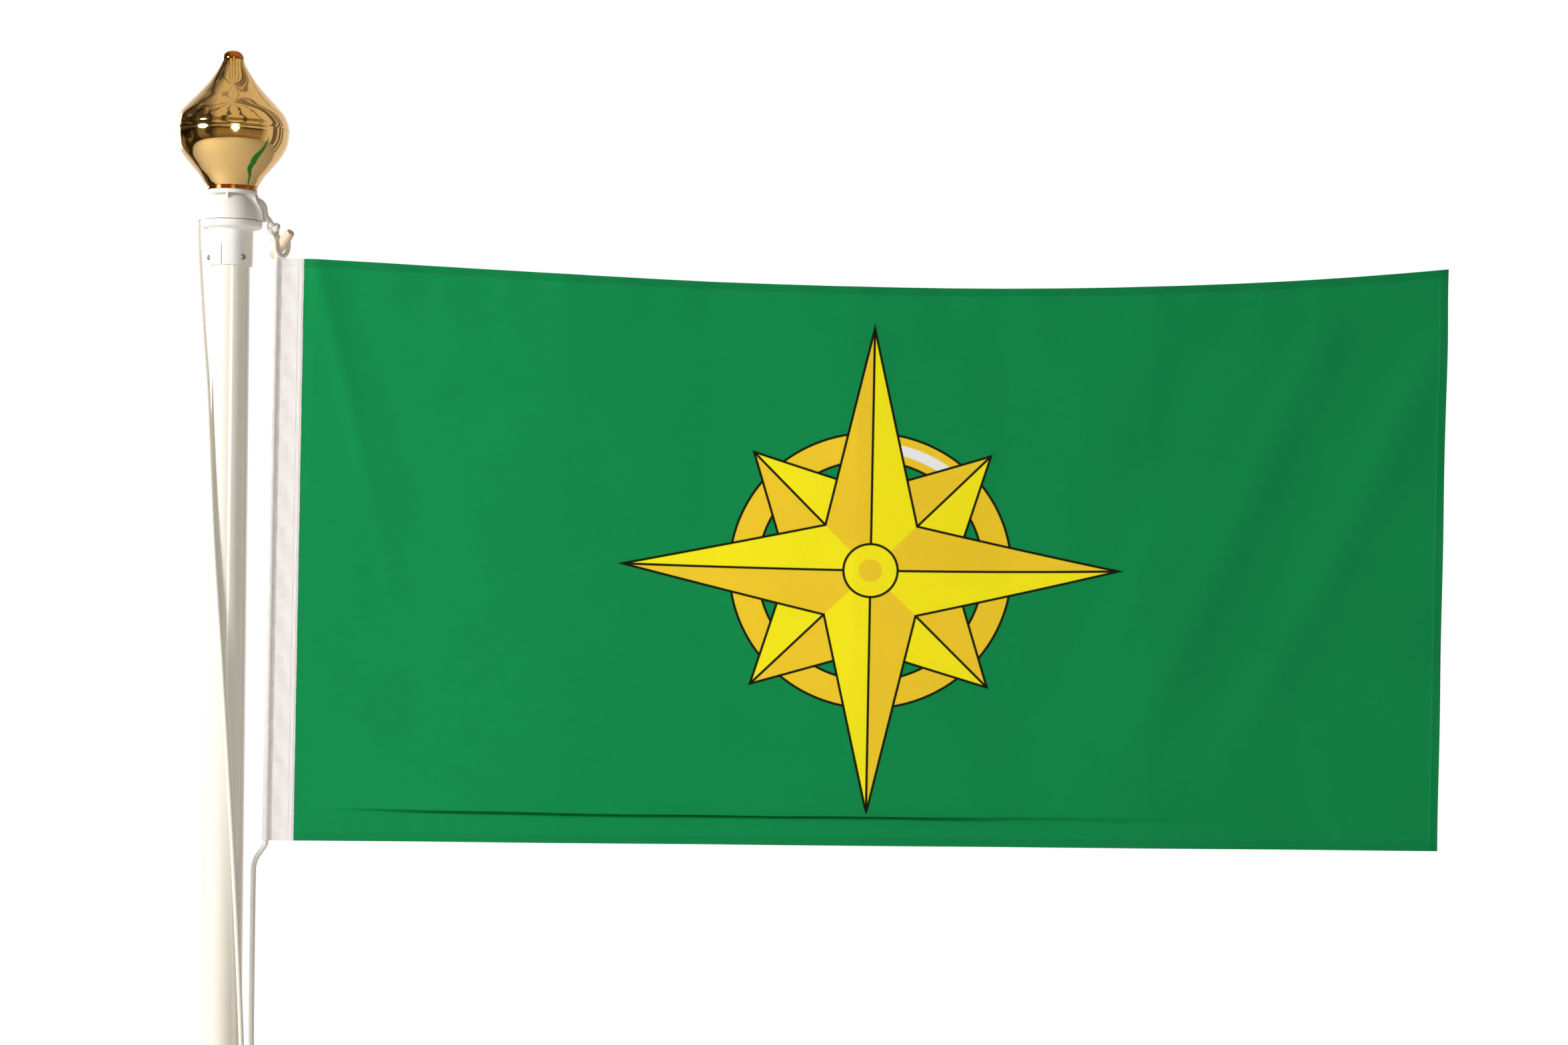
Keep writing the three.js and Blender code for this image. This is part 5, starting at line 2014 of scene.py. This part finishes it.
    def stitches(self, name: str, runs: list[tuple[np.ndarray, np.ndarray]], thread: Thread, slot: Slot) -> Piece:
        """Sews runs of stitches on both faces of the cloth, as one piece.

        Args:
            name: The piece's name.
            runs: Start and end points of each run's stitches.
            thread: The thread's finish.
            slot: The slot of the cloth it is sewn in.

        Returns:
            The stitches.
        """
        lift = (1.15 if slot is Slot.CANVAS else 0.62) * MM
        radius, sides, rings = 0.28 * MM, 6, (
            (0.0, 0.35, -0.8), (0.18, 1.0, 0.0), (0.82, 1.0, 0.0), (1.0, 0.35, -0.8)
        )
        vertices, faces = [], []
        for starts, ends in runs:
            for face in (-1, 1):
                for a, b in zip(starts, ends):
                    base = len(vertices)
                    ahead = (b - a) / np.linalg.norm(b - a)
                    up = np.array((0.0, float(face), 0.0))
                    side = np.cross(ahead, up)
                    for share, scale, dip in rings:
                        centre = a + (b - a) * share + up * (lift + dip * 0.5 * radius)
                        for k in range(sides):
                            t = math.tau * k / sides
                            vertices.append(centre + radius * scale * (side * math.cos(t) * 1.25 + up * math.sin(t)))
                    for r in range(len(rings) - 1):
                        for k in range(sides):
                            n = (k + 1) % sides
                            faces.append(
                                (
                                    base + r * sides + k, base + r * sides + n, base + (r + 1) * sides + n,
                                    base + (r + 1) * sides + k,
                                ),
                            )
                    faces.append(tuple(base + k for k in range(sides))[::-1])
                    faces.append(tuple(base + (len(rings) - 1) * sides + k for k in range(sides)))
        mesh = bpy.data.meshes.new(name)
        mesh.from_pydata([tuple(p) for p in vertices], [], faces)
        piece = bpy.data.objects.new(name, mesh)
        bpy.context.scene.collection.objects.link(piece)
        with editing(piece):
            bpy.ops.mesh.normals_make_consistent(inside=False)
        focus(piece)
        bpy.ops.object.shade_smooth()
        return place(piece, "flag", slot, finish=thread)

    def hoist_band(self) -> Piece:
        """Builds the canvas band, folded round its rope and puckered along the seams.

        Returns:
            The closed band.
        """
        sleeve, half = 5.6 * MM, 0.85 * MM
        outline = [(self.band + 0.4 * MM, -half * 0.7), (self.band, -half), (self.band - 3 * MM, -half)]
        outline += [(x * MM, -half) for x in np.arange(43, 17, -1.5)]
        outline += [
            (14.8 * MM, -1.15 * half), (13.8 * MM, -1.1 * half), (12.6 * MM, -1.9 * MM), (11.6 * MM, -2.5 * MM)
        ]
        start = math.radians(35)
        outline += [
            (sleeve + sleeve * math.cos(a), -sleeve * 0.9 * math.sin(a))
            for a in np.linspace(start, math.tau - start, 30)
        ]
        outline += [(x, -y) for x, y in reversed(outline[: len(outline) - 30])]
        ring = np.array(outline)
        count = 420
        rows, uv = [], []
        lengths = np.concatenate(
            [[0], np.cumsum(np.linalg.norm(np.diff(np.vstack([ring, ring[:1]]), axis=0), axis=1))]
        )
        for i in range(count):
            t = i / (count - 1)
            z = self.foot + t * self.height
            x = self.edge(np.array(z))
            pucker = 0.35 * MM * math.sin(t * 190) + 0.25 * MM * math.sin(t * 431 + 1) + 0.5 * MM * math.sin(t * 47)
            soft = np.clip((ring[:, 0] - 12 * MM) / (36 * MM), 0, 1)
            wave = np.sin(t * 83 + soft * 5) * 0.45 * MM * np.sin(soft * math.pi)
            bulge = 1 + 0.03 * math.sin(t * 120) + 0.02 * math.sin(t * 307)
            in_sleeve = ring[:, 0] < 12 * MM
            px = x + ring[:, 0] + np.where(in_sleeve, (bulge - 1) * 0.3 * ring[:, 0], 0.25 * pucker * soft)
            py = ring[:, 1] * np.where(in_sleeve, bulge, 1) + wave + 0.35 * pucker * np.sin(soft * math.pi) * 0.6
            pz = np.full(len(ring), z)
            rows.append(np.stack([px, py, pz], -1))
            across = np.abs(lengths / self.band - 0.5 * lengths[-1] / self.band)
            uv.append(np.stack([across, np.full(len(lengths), t)], -1))
        piece = grid_mesh("hoist_band_finished", np.array(rows), np.array(uv), closed=True, capped=True)
        return close_up(piece, 60)


# ---- studio
@dataclass
class StudioSet:
    """The camera, the plain floor and the soft lights."""

    distance: float = 4.12
    lens_mm: float = 61.1985
    sensor_mm: float = 36.0
    aside: float = 0.8595
    below_tip: float = 0.7187
    roll: float = -0.7

    def build(self) -> None:
        """Sets up the camera, the floor, the lights and the world."""
        self.camera()
        self.floor()
        self.lights()
        self.world()
        bpy.context.scene.view_settings.view_transform = "Standard"

    def camera(self) -> None:
        """Places the camera level with the middle of the flag, slightly rolled."""
        data = bpy.data.cameras.new("camera")
        data.sensor_width = self.sensor_mm
        data.lens = self.lens_mm
        data.clip_end = 200
        camera = bpy.data.objects.new("camera", data)
        bpy.context.scene.collection.objects.link(camera)
        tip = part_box("finial_tip")[1].z
        camera.location = (self.aside, -self.distance, tip - self.below_tip)
        camera.rotation_euler = (math.pi / 2, math.radians(self.roll), 0)
        bpy.context.scene.camera = camera

    def floor(self) -> None:
        """Lays a wide plain floor."""
        deselect()
        bpy.ops.mesh.primitive_circle_add(vertices=96, radius=5.2, fill_type="NGON", location=(0.6, 0, -0.001))
        floor = settle(named("floor"))
        floor.data.materials.append(Studio("plain_white_floor").build())

    def lights(self) -> None:
        """Hangs a large key at the left front and weaker lamps at the right and behind."""
        target = Vector((0.6, 0, 1.9))
        for name, spot, size, power in (
            ("key", (-3.5, -2.9, 3.2), 1.6, 235.0),
            ("fill", (1.6, -5.2, 2.4), 1.6, 58.0),
            ("back", (-2.6, 2.6, 3.0), 2.0, 50.0),
        ):
            data = bpy.data.lights.new(name, "AREA")
            data.shape = "DISK"
            data.size = size
            data.energy = power
            lamp = bpy.data.objects.new(name, data)
            lamp.location = spot
            lamp.rotation_euler = (target - Vector(spot)).to_track_quat("-Z", "Y").to_euler()
            bpy.context.scene.collection.objects.link(lamp)

    def world(self) -> None:
        """Makes a white backdrop behind the flag and a dim hall behind the camera."""
        world = bpy.data.worlds.new("studio")
        bpy.context.scene.world = world
        world.use_nodes = True
        tree = world.node_tree
        tree.nodes.clear()
        way = add(tree, "ShaderNodeTexCoord").outputs["Generated"]
        axes = add(tree, "ShaderNodeSeparateXYZ", [way])
        leftward = add(tree, MATH, [axes.outputs[0], 0.0], operation="MINIMUM")
        depth = add(tree, MATH, [leftward, 1.15, axes.outputs[1]], operation="MULTIPLY_ADD")
        back = add(tree, RANGE, {0: depth, 1: -0.3, 2: 0.0, 3: 0.0, 4: 1.0})
        above = add(tree, RANGE, {0: axes.outputs[2], 1: 0.35, 2: 0.75, 3: 1.0, 4: 0.35})
        back = add(tree, MATH, [back, above], operation="MULTIPLY")
        room = blended(tree, back.outputs[0], self.hall(tree, way, axes), (0.95, 0.86, 0.76, 1.0))
        room = self.behind(tree, axes, room)
        side = add(tree, RANGE, {0: axes.outputs[0], 1: -0.6, 2: 0.9, 3: 0.85, 4: 0.1})
        front = add(tree, RANGE, {0: axes.outputs[1], 1: -0.8, 2: 0.6, 3: 0.28, 4: 1.0})
        level = add(tree, MATH, [side, front], operation="MULTIPLY")
        soft = add(tree, "ShaderNodeVectorMath", {0: (1.0, 0.94, 0.84), 3: level}, operation="SCALE")
        rays = add(tree, "ShaderNodeLightPath")
        colour = blended(tree, rays.outputs["Is Glossy Ray"], soft, room)
        colour = blended(tree, rays.outputs["Is Camera Ray"], colour, (1.0, 1.0, 1.0, 1.0))
        backdrop = add(tree, "ShaderNodeBackground", {"Color": colour, "Strength": 1.0})
        add(tree, "ShaderNodeOutputWorld", [backdrop])

    def behind(self, tree: Tree, axes: Node, room: object) -> Socket:
        """Stands three dark posts round the room, for the pole's glossy side to show.

        Args:
            tree: The world's node tree.
            axes: The parts of the direction looked in.
            room: The colour without them.

        Returns:
            The colour with them.
        """
        heading = add(tree, MATH, [axes.outputs[0], axes.outputs[1]], operation="ARCTAN2")
        for middle, half in ((0.98, 0.05), (0.8, 0.03), (1.25, 0.1)):
            away = add(tree, MATH, [heading, middle], operation="SUBTRACT")
            away = add(tree, MATH, [away], operation="ABSOLUTE")
            post = add(tree, RANGE, {0: away, 1: half, 2: half + 0.03, 3: 0.85, 4: 0.0})
            room = blended(tree, post, room, linear("#4a3a2a"))
        return room

    def hall(self, tree: Tree, way: Socket, axes: Node) -> Socket:
        """Draws the hall: floor, dark rows, a bright far wall, and a ceiling with beams.

        Args:
            tree: The world's node tree.
            way: The direction looked in.
            axes: The same direction's parts.

        Returns:
            The hall's colour.
        """
        warp = add(tree, NOISE, {"Vector": way, "Scale": 2.2, "Detail": 3.0})
        swing = add(tree, MATH, [warp.outputs[0], 0.16, axes.outputs[2]], operation="MULTIPLY_ADD")
        ramp_node = add(tree, "ShaderNodeValToRGB", [add(tree, MATH, [swing, 0.42], operation="ADD")])
        ramp = ramp_node.color_ramp
        ramp.elements[0].position, ramp.elements[0].color = 0.0, linear("#6a5436")
        ramp.elements[1].position, ramp.elements[1].color = 1.0, linear("#f0e0bf")
        for position, colour in (
            (0.26, "#b09a72"), (0.4, "#8f7a58"), (0.455, "#2a1f16"), (0.5, "#1c150f"), (0.54, "#a08c6b"),
            (0.6, "#fff6e6"), (
                0.66, "#d8c7a6"
            ), (0.7, "#473827"), (0.76, "#c4ad84"), (0.86, "#7d6545"), (0.93, "#e0caa0"),
        ):
            ramp.elements.new(position).color = linear(colour)
        heading = add(tree, MATH, [axes.outputs[0], axes.outputs[1]], operation="ARCTAN2")
        fan = add(tree, MATH, [heading, 9.0, warp.outputs[0]], operation="MULTIPLY_ADD")
        fan = add(
            tree, MATH, [add(tree, MATH, [warp.outputs[0], 7.0, fan], operation="MULTIPLY_ADD")], operation="SINE"
        )
        beam = add(tree, RANGE, {0: fan, 1: 0.78, 2: 0.92, 3: 0.0, 4: 0.85})
        overhead = add(tree, RANGE, {0: axes.outputs[2], 1: 0.16, 2: 0.3, 3: 0.0, 4: 1.0})
        beams = add(tree, MATH, [beam.outputs[0], overhead.outputs[0]], operation="MULTIPLY")
        colour = blended(tree, beams, ramp_node.outputs[0], linear("#1d140d"))
        curtain = add(tree, RANGE, {0: axes.outputs[0], 1: -0.3, 2: -0.55, 3: 0.0, 4: 0.9})
        patch = add(tree, RANGE, {0: warp.outputs[0], 1: 0.4, 2: 0.47, 3: 0.3, 4: 1.0})
        curtain = add(tree, MATH, [curtain.outputs[0], patch.outputs[0]], operation="MULTIPLY")
        return blended(tree, curtain, colour, linear("#120c08"))


def main() -> None:
    """Builds the studio and every sub-assembly, in order."""
    logging.basicConfig(level=logging.INFO, format="%(message)s")
    rope = BraidedRope()
    for assembly in (StudioSet(), Halyard(rope), TiltingFoot(), Pole(), Truck(), Finial(), Knot(rope), Flag(rope)):
        assembly.build()
    deselect()


if __name__ == "__main__":
    main()
